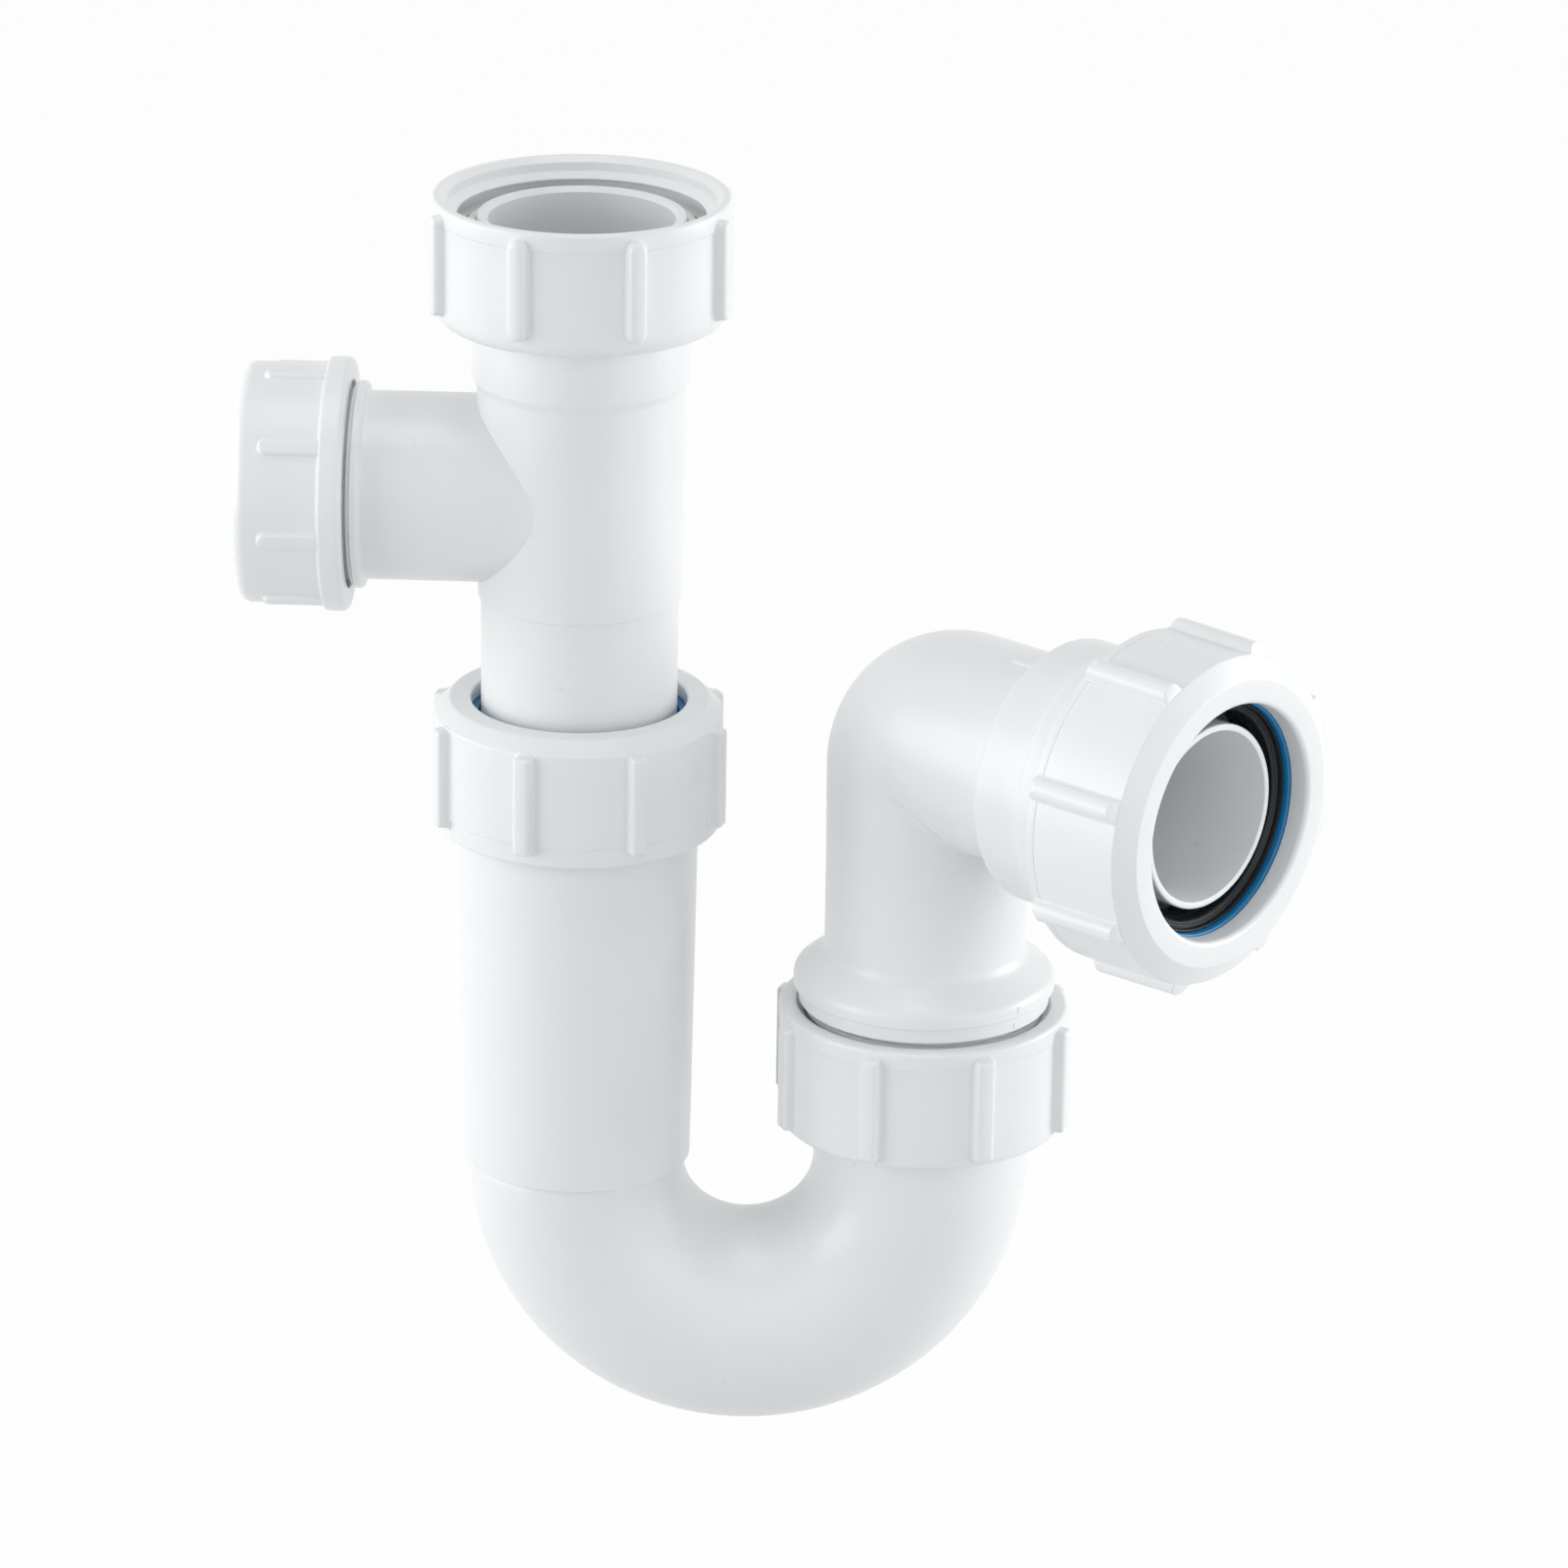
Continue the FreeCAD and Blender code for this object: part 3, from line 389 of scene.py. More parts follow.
def thread_tree() -> bpy.types.NodeTree:
    """The tree that winds a screw thread's ridge, faded out at both ends."""
    sizes = ("Radius", "Ridge", "Pitch", "Turns", "Start")
    tree = new_tree("Screw thread", {**dict.fromkeys(sizes, "Float"), "Material": "Material"})
    start = tree.nodes["Group Input"].outputs
    wind = add_node(tree, "GeometryNodeCurveSpiral", {
        "Resolution": THREAD_STEPS,
        "Reverse": False,
        "Rotations": start["Turns"],
        "Start Radius": start["Radius"],
        "End Radius": start["Radius"],
        "Height": math_node(tree, "MULTIPLY", start["Turns"], start["Pitch"]),
    })
    along = add_node(tree, "GeometryNodeSplineParameter").outputs["Factor"]
    run = math_node(tree, "MULTIPLY", start["Turns"], THREAD_FADE)
    fade_in = math_node(tree, "MULTIPLY", along, run)
    fade_out = math_node(tree, "MULTIPLY", math_node(tree, "SUBTRACT", 1.0, along), run)
    fade = math_node(tree, "MINIMUM", math_node(tree, "MINIMUM", fade_in, fade_out), 1.0)
    faded = add_node(tree, "GeometryNodeSetCurveRadius", {
        "Curve": wind.outputs[0], "Radius": math_node(tree, "MAXIMUM", fade, THINNEST_RIDGE),
    })
    profile = add_node(tree, "GeometryNodeCurvePrimitiveCircle", {
        "Resolution": RIDGE_STEPS, "Radius": start["Ridge"],
    })
    sweep = add_node(tree, "GeometryNodeCurveToMesh", {
        "Fill Caps": True, "Curve": faded.outputs[0], "Profile Curve": profile.outputs[0],
    })
    place = add_node(tree, "ShaderNodeCombineXYZ", {"Z": start["Start"]})
    lift = add_node(tree, "GeometryNodeTransform", {
        "Geometry": sweep.outputs[0], "Translation": place.outputs[0],
    })
    end_tree(tree, lift.outputs[0])
    return tree


def grown(mesh: bpy.types.Mesh, tree: bpy.types.NodeTree, values: dict[str, object]) -> bpy.types.Mesh:
    """The plain mesh that a Geometry Nodes tree makes of another.

    Args:
        mesh: The mesh that the tree starts from.
        tree: The tree.
        values: Its inputs by name.

    Returns:
        The new mesh.
    """
    work = new_object("work", mesh)
    step = work.modifiers.new(tree.name, "NODES")
    step.node_group = tree
    for item in tree.interface.items_tree:
        if item.in_out == "INPUT" and item.name in values:
            step[item.identifier] = values[item.name]
    result = evaluated(work)
    result.shade_smooth()
    return result


# Finishes


@dataclass(frozen=True)
class Noise:
    """A noise pattern, read in the piece's own coordinates."""

    scale: float
    detail: float

    def value(self, tree: bpy.types.NodeTree, where: bpy.types.NodeSocket) -> bpy.types.NodeSocket:
        """The pattern's value at the coordinates."""
        inputs = {"Scale": self.scale, "Detail": self.detail, "Vector": where}
        return add_node(tree, "ShaderNodeTexNoise", inputs).outputs["Fac"]

    def between(
        self, tree: bpy.types.NodeTree, where: bpy.types.NodeSocket, **limits: float
    ) -> bpy.types.NodeSocket:
        """The pattern's value, mapped by limits named from_min, from_max, to_min or to_max."""
        inputs = {name.replace("_", " ").title(): value for name, value in limits.items()}
        spread = add_node(tree, "ShaderNodeMapRange", {**inputs, "Value": self.value(tree, where)})
        return spread.outputs["Result"]


@dataclass(frozen=True)
class Finish:
    """A moulded plastic or rubber finish.

    The tints are linear. Waves are the slow unevenness of a moulded wall and grain is its fine texture.
    """

    name: str
    light: tuple[float, float, float]
    dark: tuple[float, float, float]
    roughness: tuple[float, float]
    wave_depth: float
    grain_depth: float
    specular: float = 0.5
    refraction: float = 1.49
    scuff: float = 0.08
    cloud: Noise = Noise(90.0, 3.0)
    gloss: Noise = Noise(260.0, 4.0)
    waves: Noise = Noise(120.0, 1.0)
    grain: Noise = Noise(2600.0, 3.0)
    streaks: Noise = Noise(70.0, 3.0)
    patches: Noise = Noise(35.0, 2.0)
    streak_turn: tuple[float, float, float] = (0.5, 0.3, 0.9)
    streak_squeeze: tuple[float, float, float] = (1.0, 14.0, 1.0)
    streak_range: tuple[float, float] = (0.6, 0.72)
    patch_range: tuple[float, float] = (0.5, 0.65)

    def material(self) -> bpy.types.Material:
        """The procedural material, made once."""
        made = bpy.data.materials.get(self.name)
        if made:
            return made
        made = bpy.data.materials.new(self.name)
        made.use_nodes = True
        tree = made.node_tree
        where = add_node(tree, "ShaderNodeTexCoord").outputs["Object"]
        tint = add_node(tree, "ShaderNodeMix", {
            "A": (*self.dark, 1), "B": (*self.light, 1), "Factor": self.cloud.value(tree, where),
        }, data_type="RGBA")
        smooth, rough = self.roughness
        plain = self.gloss.between(tree, where, to_min=smooth, to_max=rough)
        normal: dict[str | int, object] = {}
        for pattern, depth in ((self.waves, self.wave_depth), (self.grain, self.grain_depth)):
            bump = add_node(tree, "ShaderNodeBump", {
                "Strength": 1.0, "Distance": depth * MM, "Height": pattern.value(tree, where), **normal,
            })
            normal = {"Normal": bump.outputs["Normal"]}
        feed(tree, tree.nodes["Principled BSDF"], {
            "Specular IOR Level": self.specular,
            "IOR": self.refraction,
            "Base Color": tint.outputs["Result"],
            "Roughness": math_node(tree, "MULTIPLY_ADD", self.scuffs(tree, where), self.scuff, plain),
            **normal,
        })
        return made

    def scuffs(self, tree: bpy.types.NodeTree, where: bpy.types.NodeSocket) -> bpy.types.NodeSocket:
        """Fine handling marks: thin stretched streaks, here and there.

        Args:
            tree: The material's tree.
            where: The coordinates.

        Returns:
            How worn each place is, from 0 to 1.
        """
        stretch = add_node(tree, "ShaderNodeMapping", {
            "Rotation": self.streak_turn, "Scale": self.streak_squeeze, "Vector": where,
        })
        low, high = self.streak_range
        streak = self.streaks.between(tree, stretch.outputs["Vector"], from_min=low, from_max=high)
        low, high = self.patch_range
        patch = self.patches.between(tree, where, from_min=low, from_max=high)
        return math_node(tree, "MULTIPLY", streak, patch)


class Finishes(Enum):
    """The trap's finishes, each with the record's material slot that it stands for."""

    WHITE = ("white_plastic", Finish(
        "White moulded plastic", (0.865, 0.877, 0.88), (0.835, 0.85, 0.854), (0.25, 0.34), 0.035, 0.003,
    ))
    WASHER = ("white_washer", Finish(
        "Soft white washer", (0.78, 0.78, 0.77), (0.70, 0.70, 0.69), (0.45, 0.6), 0.02, 0.006,
    ))
    BLUE = ("blue_plastic", Finish(
        "Blue slip ring", (0.005, 0.20, 0.46), (0.003, 0.175, 0.41), (0.3, 0.4), 0.02, 0.003,
    ))
    BLACK = ("black_rubber", Finish(
        "Black seal rubber", (0.012, 0.015, 0.019), (0.006, 0.008, 0.010), (0.2, 0.34), 0.2, 0.01, 0.35,
    ))

    @property
    def slot(self) -> str:
        """The record's material slot."""
        return self.value[0]

    def material(self) -> bpy.types.Material:
        """The material of this finish."""
        return self.value[1].material()


# Ribs, marks and threads


@dataclass(frozen=True)
class Rib:
    """A moulded rib or boss that stands on a round body, with rounded edges and a root fillet.

    Sizes are in millimetres. Its length runs along the body's axis. With a bevel its head end slopes
    back by that much for each millimetre of height. The flare is how much further out its foot end stands.
    """

    width: float
    length: float
    height: float
    corner: float = 1.0
    edge: float = 0.8
    root: float = 0.35
    bevel: float = 0.0
    flare: float = 0.0
    bevel_corner: float = 0.3

    def section(self) -> list[tuple[float, float]]:
        """(distance out from the rib's outline, height) from the root's foot to the middle of the top."""
        root = min(self.root, self.height * RIB_ROOT_SHARE)
        edge = min(self.edge, self.height - root, self.width / 2)
        draft = RIB_DRAFT * self.height
        points = [(root - root * math.sin(a), root - root * math.cos(a)) for a in RIB_ARC]
        points += [
            (-draft - edge + edge * math.cos(a), self.height - edge + edge * math.sin(a))
            for a in RIB_ARC
        ]
        middle = self.width / 2 - RIB_CROWN
        if middle > draft + edge:
            points.append((-middle, self.height + RIB_CROWN))
        return points

    def ring(self, grow: float, height: float) -> list[tuple[float, float]]:
        """The rib's outline at one level.

        Args:
            grow: How far the outline is grown.
            height: The level's height over the body.

        Returns:
            (across, along) points about the rib's middle.
        """
        half_width = max(self.width / 2 + grow, RIB_LEAST)
        half_length = max(self.length / 2 + grow, RIB_LEAST)
        head = self.length / 2 - self.bevel * height if self.bevel else half_length
        result: list[tuple[float, float]] = []
        for quarter in range(4):
            side = 1 if quarter in (0, 3) else -1
            ahead = quarter in (0, 1)
            reach = head if ahead else -half_length
            round_size = self.bevel_corner if ahead and self.bevel else max(self.corner + grow, RIB_LEAST)
            corner = min(round_size, half_width)
            middle = reach - corner if ahead else reach + corner
            for k in range(RIB_CORNER_POINTS):
                a = math.pi / 2 * (quarter + k / (RIB_CORNER_POINTS - 1))
                across = side * (half_width - corner) + corner * math.cos(a)
                result.append((across, middle + corner * math.sin(a)))
        return result

    def mesh(self, radius: float, middle: float, turn: float = 0.0) -> bpy.types.Mesh:
        """The closed rib on a body.

        Args:
            radius: Radius of the body, in millimetres.
            middle: Height of the rib's middle along the body's axis.
            turn: Degrees round the body from +X.

        Returns:
            The rib's mesh, in metres.
        """
        levels = [(self.root, -RIB_SINK), *self.section()]
        vertices: list[Point] = []
        for grow, height in levels:
            for across, along in self.ring(grow, height):
                a = across / radius + math.radians(turn)
                r = (radius + height + self.flare * (0.5 - along / self.length)) * MM
                vertices.append((r * math.cos(a), r * math.sin(a), (middle + along) * MM))
        count = len(self.ring(0, 0))
        faces: list[tuple[int, ...]] = [tuple(range(count - 1, -1, -1))]
        for low in range(0, (len(levels) - 1) * count, count):
            high = low + count
            for k in range(count):
                m = (k + 1) % count
                faces.append((low + k, low + m, high + m, high + k))
        faces.append(tuple(range((len(levels) - 1) * count, len(levels) * count)))
        mesh = bpy.data.meshes.new("rib")
        mesh.from_pydata(vertices, [], faces)
        return tidy(mesh)


@dataclass(frozen=True)
class Thread:
    """A round-crested screw thread. Sizes are in millimetres; the radius is the ridge's middle."""

    radius: float
    start: float
    end: float
    ridge: float = 0.8


@dataclass
class Workshop:
    """The two Geometry Nodes trees that the sub-assemblies share, and what is made with them."""

    rib_ring: bpy.types.NodeTree = field(default_factory=rib_ring_tree)
    thread: bpy.types.NodeTree = field(default_factory=thread_tree)

    def ribbed(
        self, body: bpy.types.Mesh, rib: Rib, radius: float, middle: float, turn: float
    ) -> bpy.types.Mesh:
        """A body with a ring of ribs.

        Args:
            body: The body's mesh, drawn up Z.
            rib: The rib.
            radius: Radius of the body where the ribs stand, in millimetres.
            middle: Height of the ribs' middle.
            turn: Degrees round from +X to the first rib.

        Returns:
            Body and ribs in one mesh.
        """
        one = new_object("rib", rib.mesh(radius, middle))
        result = grown(body, self.rib_ring, {
            "Rib": one,
            "Count": RIBS_ROUND,
            "Turn": math.radians(turn),
            "Material": Finishes.WHITE.material(),
        })
        bpy.data.objects.remove(one)
        return result

    def wound(self, thread: Thread) -> bpy.types.Mesh:
        """A thread's ridge, wound from its start to its end."""
        return grown(bpy.data.meshes.new("thread"), self.thread, {
            "Radius": thread.radius * MM,
            "Ridge": thread.ridge * MM,
            "Pitch": THREAD_PITCH * MM,
            "Turns": (thread.end - thread.start) / THREAD_PITCH,
            "Start": thread.start * MM,
            "Material": Finishes.WHITE.material(),
        })

    def threaded(
        self, name: str, body: bpy.types.Mesh, thread: Thread, *extras: bpy.types.Mesh
    ) -> bpy.types.Mesh:
        """A body with its thread and small extras in one mesh."""
        return combined(name, [body, self.wound(thread), *extras])


# Pieces


def place_piece(
    name: str, mesh: bpy.types.Mesh, axis: Axis, finish: Finishes, node: str = "", body: str = ""
) -> None:
    """Puts a finished mesh in the frame in place of a node.

    Args:
        name: Name of the piece, before its ending.
        mesh: Its mesh, drawn up Z, in metres.
        axis: The axis it is placed on.
        finish: Its finish.
        node: The node it stands for, where that isn't called by the piece's name.
        body: The body it moves with, where that isn't called by the node's name.
    """
    node = node or name
    body = body or node
    mesh.transform(axis.placement())
    mesh.materials.clear()
    mesh.materials.append(finish.material())
    made = new_object(f"{name}_skin", mesh)
    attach(made, body)
    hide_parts(node)
    finish.slot
    LOG.info("%s: %d faces, rides on %s", made.name, len(mesh.polygons), body)


@dataclass
class InletJoint:
    """The captive inlet nut and its flat washer."""

    radius: float = 25.1
    length: float = 21.8
    lip: float = 2.9
    hole: float = 18.65
    bore: float = 20.955
    rim_band: float = 3.0
    rim_step: tuple[float, float] = (0.2, 0.25)
    mouth: tuple[float, float] = (22.7, 2.4)
    mouth_lead: tuple[float, float] = (1.2, 0.9)
    ledge: float = 0.8
    relief: float = 22.0
    relief_depths: tuple[float, float, float, float] = (0.3, 0.7, 2.6, 3.0)
    rib: Rib = Rib(width=3.3, length=17.6, height=2.0, corner=1.6, edge=0.9)
    rib_middle: float = -10.0
    rib_turn: float = 20.2
    thread_gaps: tuple[float, float] = (1.2, 4.1)
    washer: tuple[float, float, float, float] = (17.95, 19.3, -6.25, -4.85)

    def nut(self, shop: Workshop) -> bpy.types.Mesh:
        """The ribbed nut with its inner thread."""
        foot = -self.length
        mouth_radius, mouth_depth = self.mouth
        lead, lead_depth = self.mouth_lead
        band, band_slope = self.rim_step
        thread_top = -mouth_depth - self.ledge
        near, above, below, far = (thread_top - depth for depth in self.relief_depths)
        body = turned("inlet_nut", [
            (self.hole, foot),
            (self.radius, foot, 4.0),
            (self.radius, -self.rim_band - band_slope, 0.1),
            (self.radius + band, -self.rim_band, 0.1),
            (self.radius + band, 0, 0.7),
            (mouth_radius + lead, 0, 0.2),
            (mouth_radius, -lead_depth, 0.12),
            (mouth_radius, -mouth_depth, 0.12),
            (self.bore, thread_top, 0.15),
            (self.bore, near, 0.1),
            (self.relief, above, 0.1),
            (self.relief, below, 0.1),
            (self.bore, far, 0.1),
            (self.bore, foot + self.lip),
            (self.hole, foot + self.lip),
        ])
        ribs = shop.ribbed(body, self.rib, self.radius, self.rib_middle, self.rib_turn)
        low, high = self.thread_gaps
        thread = Thread(self.bore + BORE_RIDGE, foot + self.lip + low, thread_top - high)
        return shop.threaded("inlet_nut", ribs, thread)

    def build(self, shop: Workshop) -> None:
        """Builds and places the nut and the washer."""
        place_piece("inlet_nut", self.nut(shop), Axis.INLET, Finishes.WHITE)
        place_piece("inlet_washer", flat_ring("washer", self.washer), Axis.INLET, Finishes.WASHER)


@dataclass
class InletTee:
    """Barrel, collar, spigot and side branch."""

    top: float = -3.5
    neck_radius: float = 17.75
    neck_height: float = 2.8
    bore_top: float = 15.75
    bore_end: float = 15.0
    bore_lead: float = 0.7
    flange_radius: float = 19.2
    flange_thick: float = 2.0
    collar_radius: float = 18.45
    collar_end: float = -31.75
    collar_taper: float = 1.55
    barrel_top: float = 17.65
    barrel_end_radius: float = 17.4
    barrel_end: float = -70.85
    spigot_radius: float = 16.9
    spigot_end: float = -150.0
    branch_root: float = 6.0
    branch_radius: float = 16.12
    branch_wall: float = 1.9
    branch_ring: tuple[float, float, float] = (17.7, 36.4, 38.0)
    branch_step: tuple[float, float] = (17.1, 0.7)
    branch_core: float = 16.22
    branch_end: float = 53.3
    thread_gaps: tuple[float, float] = (1.6, 1.2)
    overrun: float = 1.0
    half_moon: Rib = Rib(6.9, 3.2, 0.2, corner=2.85, edge=0.17, root=0.02, bevel=0.01)
    half_moon_place: tuple[float, float] = (-23.6, -95.2)

    def barrel(self) -> bpy.types.Mesh:
        """The solid barrel, before it is bored."""
        flange_top = self.top - self.neck_height
        flange_foot = flange_top - self.flange_thick
        return turned("barrel", [
            (0, self.top),
            (self.neck_radius, self.top, 0.4),
            (self.neck_radius, flange_top),
            (self.flange_radius, flange_top, 0.3),
            (self.flange_radius, flange_foot),
            (self.collar_radius, flange_foot - self.flange_radius + self.collar_radius),
            (self.collar_radius, self.collar_end, 0.5),
            (self.barrel_top, self.collar_end - self.collar_taper, 1.2),
            (self.barrel_end_radius, self.barrel_end, 0.35),
            (self.spigot_radius, self.barrel_end, 0.2),
            (self.spigot_radius, self.spigot_end, 0.8),
            (0, self.spigot_end),
        ])

    def branch(self) -> bpy.types.Mesh:
        """The solid side branch, drawn up Z."""
        ring_radius, ring_foot, ring_head = self.branch_ring
        step_radius, step_height = self.branch_step
        return turned("branch", [
            (0, self.branch_root),
            (self.branch_radius, self.branch_root),
            (self.branch_radius, ring_foot, 0.4),
            (ring_radius, ring_foot, 0.7),
            (ring_radius, ring_head, 0.6),
            (step_radius, ring_head, 0.1),
            (step_radius, ring_head + step_height, 0.3),
            (self.branch_core, ring_head + step_height),
            (self.branch_core, self.branch_end, 0.5),
            (0, self.branch_end),
        ])

    def mesh(self, shop: Workshop) -> bpy.types.Mesh:
        """The whole tee with the branch's thread and the moulding mark."""
        bore = turned("bore", [
            (0, self.top + self.overrun),
            (self.bore_top + self.bore_lead, self.top + self.overrun, 0),
            (self.bore_top + self.bore_lead, self.top, 0),
            (self.bore_top, self.top - self.bore_lead, 0.2),
            (self.bore_end, self.spigot_end, 0),
            (self.bore_end, self.spigot_end - self.overrun, 0),
            (0, self.spigot_end - self.overrun),
        ])
        inside, past = self.branch_radius - self.branch_wall, self.branch_end + self.overrun
        branch_bore = turned("branch_bore", [(0, 0), (inside, 0, 0), (inside, past, 0), (0, past)])
        branch = self.branch()
        low, high = self.thread_gaps
        wound = shop.wound(Thread(
            self.branch_core + CORE_RIDGE, self.branch_ring[2] + low, self.branch_end - high, FINE_RIDGE,
        ))
        for piece in (branch, branch_bore, wound):
            piece.transform(Axis.BRANCH.placement())
        tee = carved("inlet_tee", self.barrel(), [branch], [bore, branch_bore])
        mark = self.half_moon.mesh(self.collar_radius, *self.half_moon_place)
        return combined("inlet_tee", [tee, wound, mark])

    def build(self, shop: Workshop) -> None:
        """Builds and places the tee."""
        place_piece("inlet_tee", self.mesh(shop), Axis.INLET, Finishes.WHITE)


@dataclass
class SideCap:
    """The screwed cap on the side branch, and its washer."""

    start: float = 39.0
    length: float = 18.6
    radius: float = 20.55
    wall: float = 2.6
    end_round: float = 2.2
    bore: float = 17.7
    bore_lead: float = 0.2
    flange: tuple[float, float] = (21.7, 4.0)
    rib: Rib = Rib(width=2.8, length=11.4, height=0.9, corner=1.3, edge=0.5, root=0.3)
    rib_middle: float = 47.5
    rib_turn: float = 34.5
    thread_gap: float = 1.6
    washer: tuple[float, float, float, float] = (14.42, 15.87, 53.35, 54.95)

    def cap(self, shop: Workshop) -> bpy.types.Mesh:
        """The ribbed cap with its inner thread."""
        end = self.start + self.length
        flange_radius, flange_thick = self.flange
        body = turned("side_cap", [
            (0, end - self.wall),
            (self.bore, end - self.wall),
            (self.bore, self.start + self.bore_lead, 0.1),
            (self.bore + self.bore_lead, self.start, 0.1),
            (flange_radius, self.start, 1.0),
            (flange_radius, self.start + flange_thick, 1.0),
            (self.radius, self.start + flange_thick, 0.4),
            (self.radius, end, self.end_round),
            (0, end),
        ])
        ribs = shop.ribbed(body, self.rib, self.radius, self.rib_middle, self.rib_turn)
        thread = Thread(
            self.bore + BORE_RIDGE,
            self.start + self.thread_gap,
            end - self.wall - self.thread_gap,
            FINE_RIDGE,
        )
        return shop.threaded("side_cap", ribs, thread)

    def build(self, shop: Workshop) -> None:
        """Builds and places the cap and the washer."""
        place_piece("side_cap", self.cap(shop), Axis.BRANCH, Finishes.WHITE)
        place_piece("side_cap_washer", flat_ring("washer", self.washer), Axis.BRANCH, Finishes.BLACK)


@dataclass
class AdjustingJoint:
    """The compression nut round the spigot, with its slip ring and wedge seal."""

    top: float = -89.45
    length: float = 22.9
    radius: float = 24.85
    opening: float = 18.6
    lip: float = 2.7
    bevel: float = 2.5
    bore: float = 22.6
    foot_band: float = 3.9
    foot_step: tuple[float, float] = (0.2, 0.25)
    rib: Rib = Rib(width=3.1, length=17.8, height=2.0, corner=0.7, edge=0.7)
    rib_gaps: tuple[float, float] = (2.5, 2.6)
    rib_turn: float = 22.8
    thread_gaps: tuple[float, float] = (1.2, 4.6)
    ring: tuple[float, float, float, float] = (17.25, 20.77, -93.7, -92.2)
    ring_round: float = 0.3
    seal_bore: float = 17.0
    seal_foot: tuple[float, float] = (18.2, -100.05)
    seal_wedge: float = 20.1
    seal_rim: tuple[float, float] = (20.8, 0.8)
    seal_top: float = -93.75

    def nut(self, shop: Workshop) -> bpy.types.Mesh:
        """The ribbed nut with its inner thread."""
        foot = self.top - self.length
        band = foot + self.foot_band
        step, step_slope = self.foot_step
        body = turned("adjusting_nut", [
            (self.bore, foot),
            (self.radius - step, foot, 1.0),
            (self.radius - step, band - step_slope, 0.1),
            (self.radius, band, 0.1),
            (self.radius, self.top - self.bevel, 0.4),
            (self.radius - self.bevel, self.top, 0.8),
            (self.opening, self.top, 0.5),
            (self.opening, self.top - self.lip),
            (self.bore, self.top - self.lip),
        ])
        low, high = self.rib_gaps
        ribs = shop.ribbed(body, self.rib, self.radius, (foot + low + self.top - high) / 2, self.rib_turn)
        low, high = self.thread_gaps
        thread = Thread(self.bore + BORE_RIDGE, foot + low, self.top - self.lip - high)
        return shop.threaded("adjusting_nut", ribs, thread)

    def seal(self) -> bpy.types.Mesh:
        """The wedge seal."""
        foot_radius, foot = self.seal_foot
        rim_radius, rim_height = self.seal_rim
        head = self.seal_top - rim_height
        return turned("adjusting_seal", [
            (self.seal_bore, foot, 0.3),
            (foot_radius, foot, 0.3),
            (self.seal_wedge, head),
            (rim_radius, head, 0.3),
            (rim_radius, self.seal_top, 0.3),
            (self.seal_bore, self.seal_top, 0.3),
        ])

    def build(self, shop: Workshop) -> None:
        """Builds and places the nut, the ring and the seal."""
        place_piece("adjusting_nut", self.nut(shop), Axis.INLET, Finishes.WHITE)
        ring = flat_ring("ring", self.ring, self.ring_round)
        place_piece("adjusting_ring", ring, Axis.INLET, Finishes.BLUE, "adjusting_slip_ring")
        place_piece("adjusting_seal", self.seal(), Axis.INLET, Finishes.BLACK)


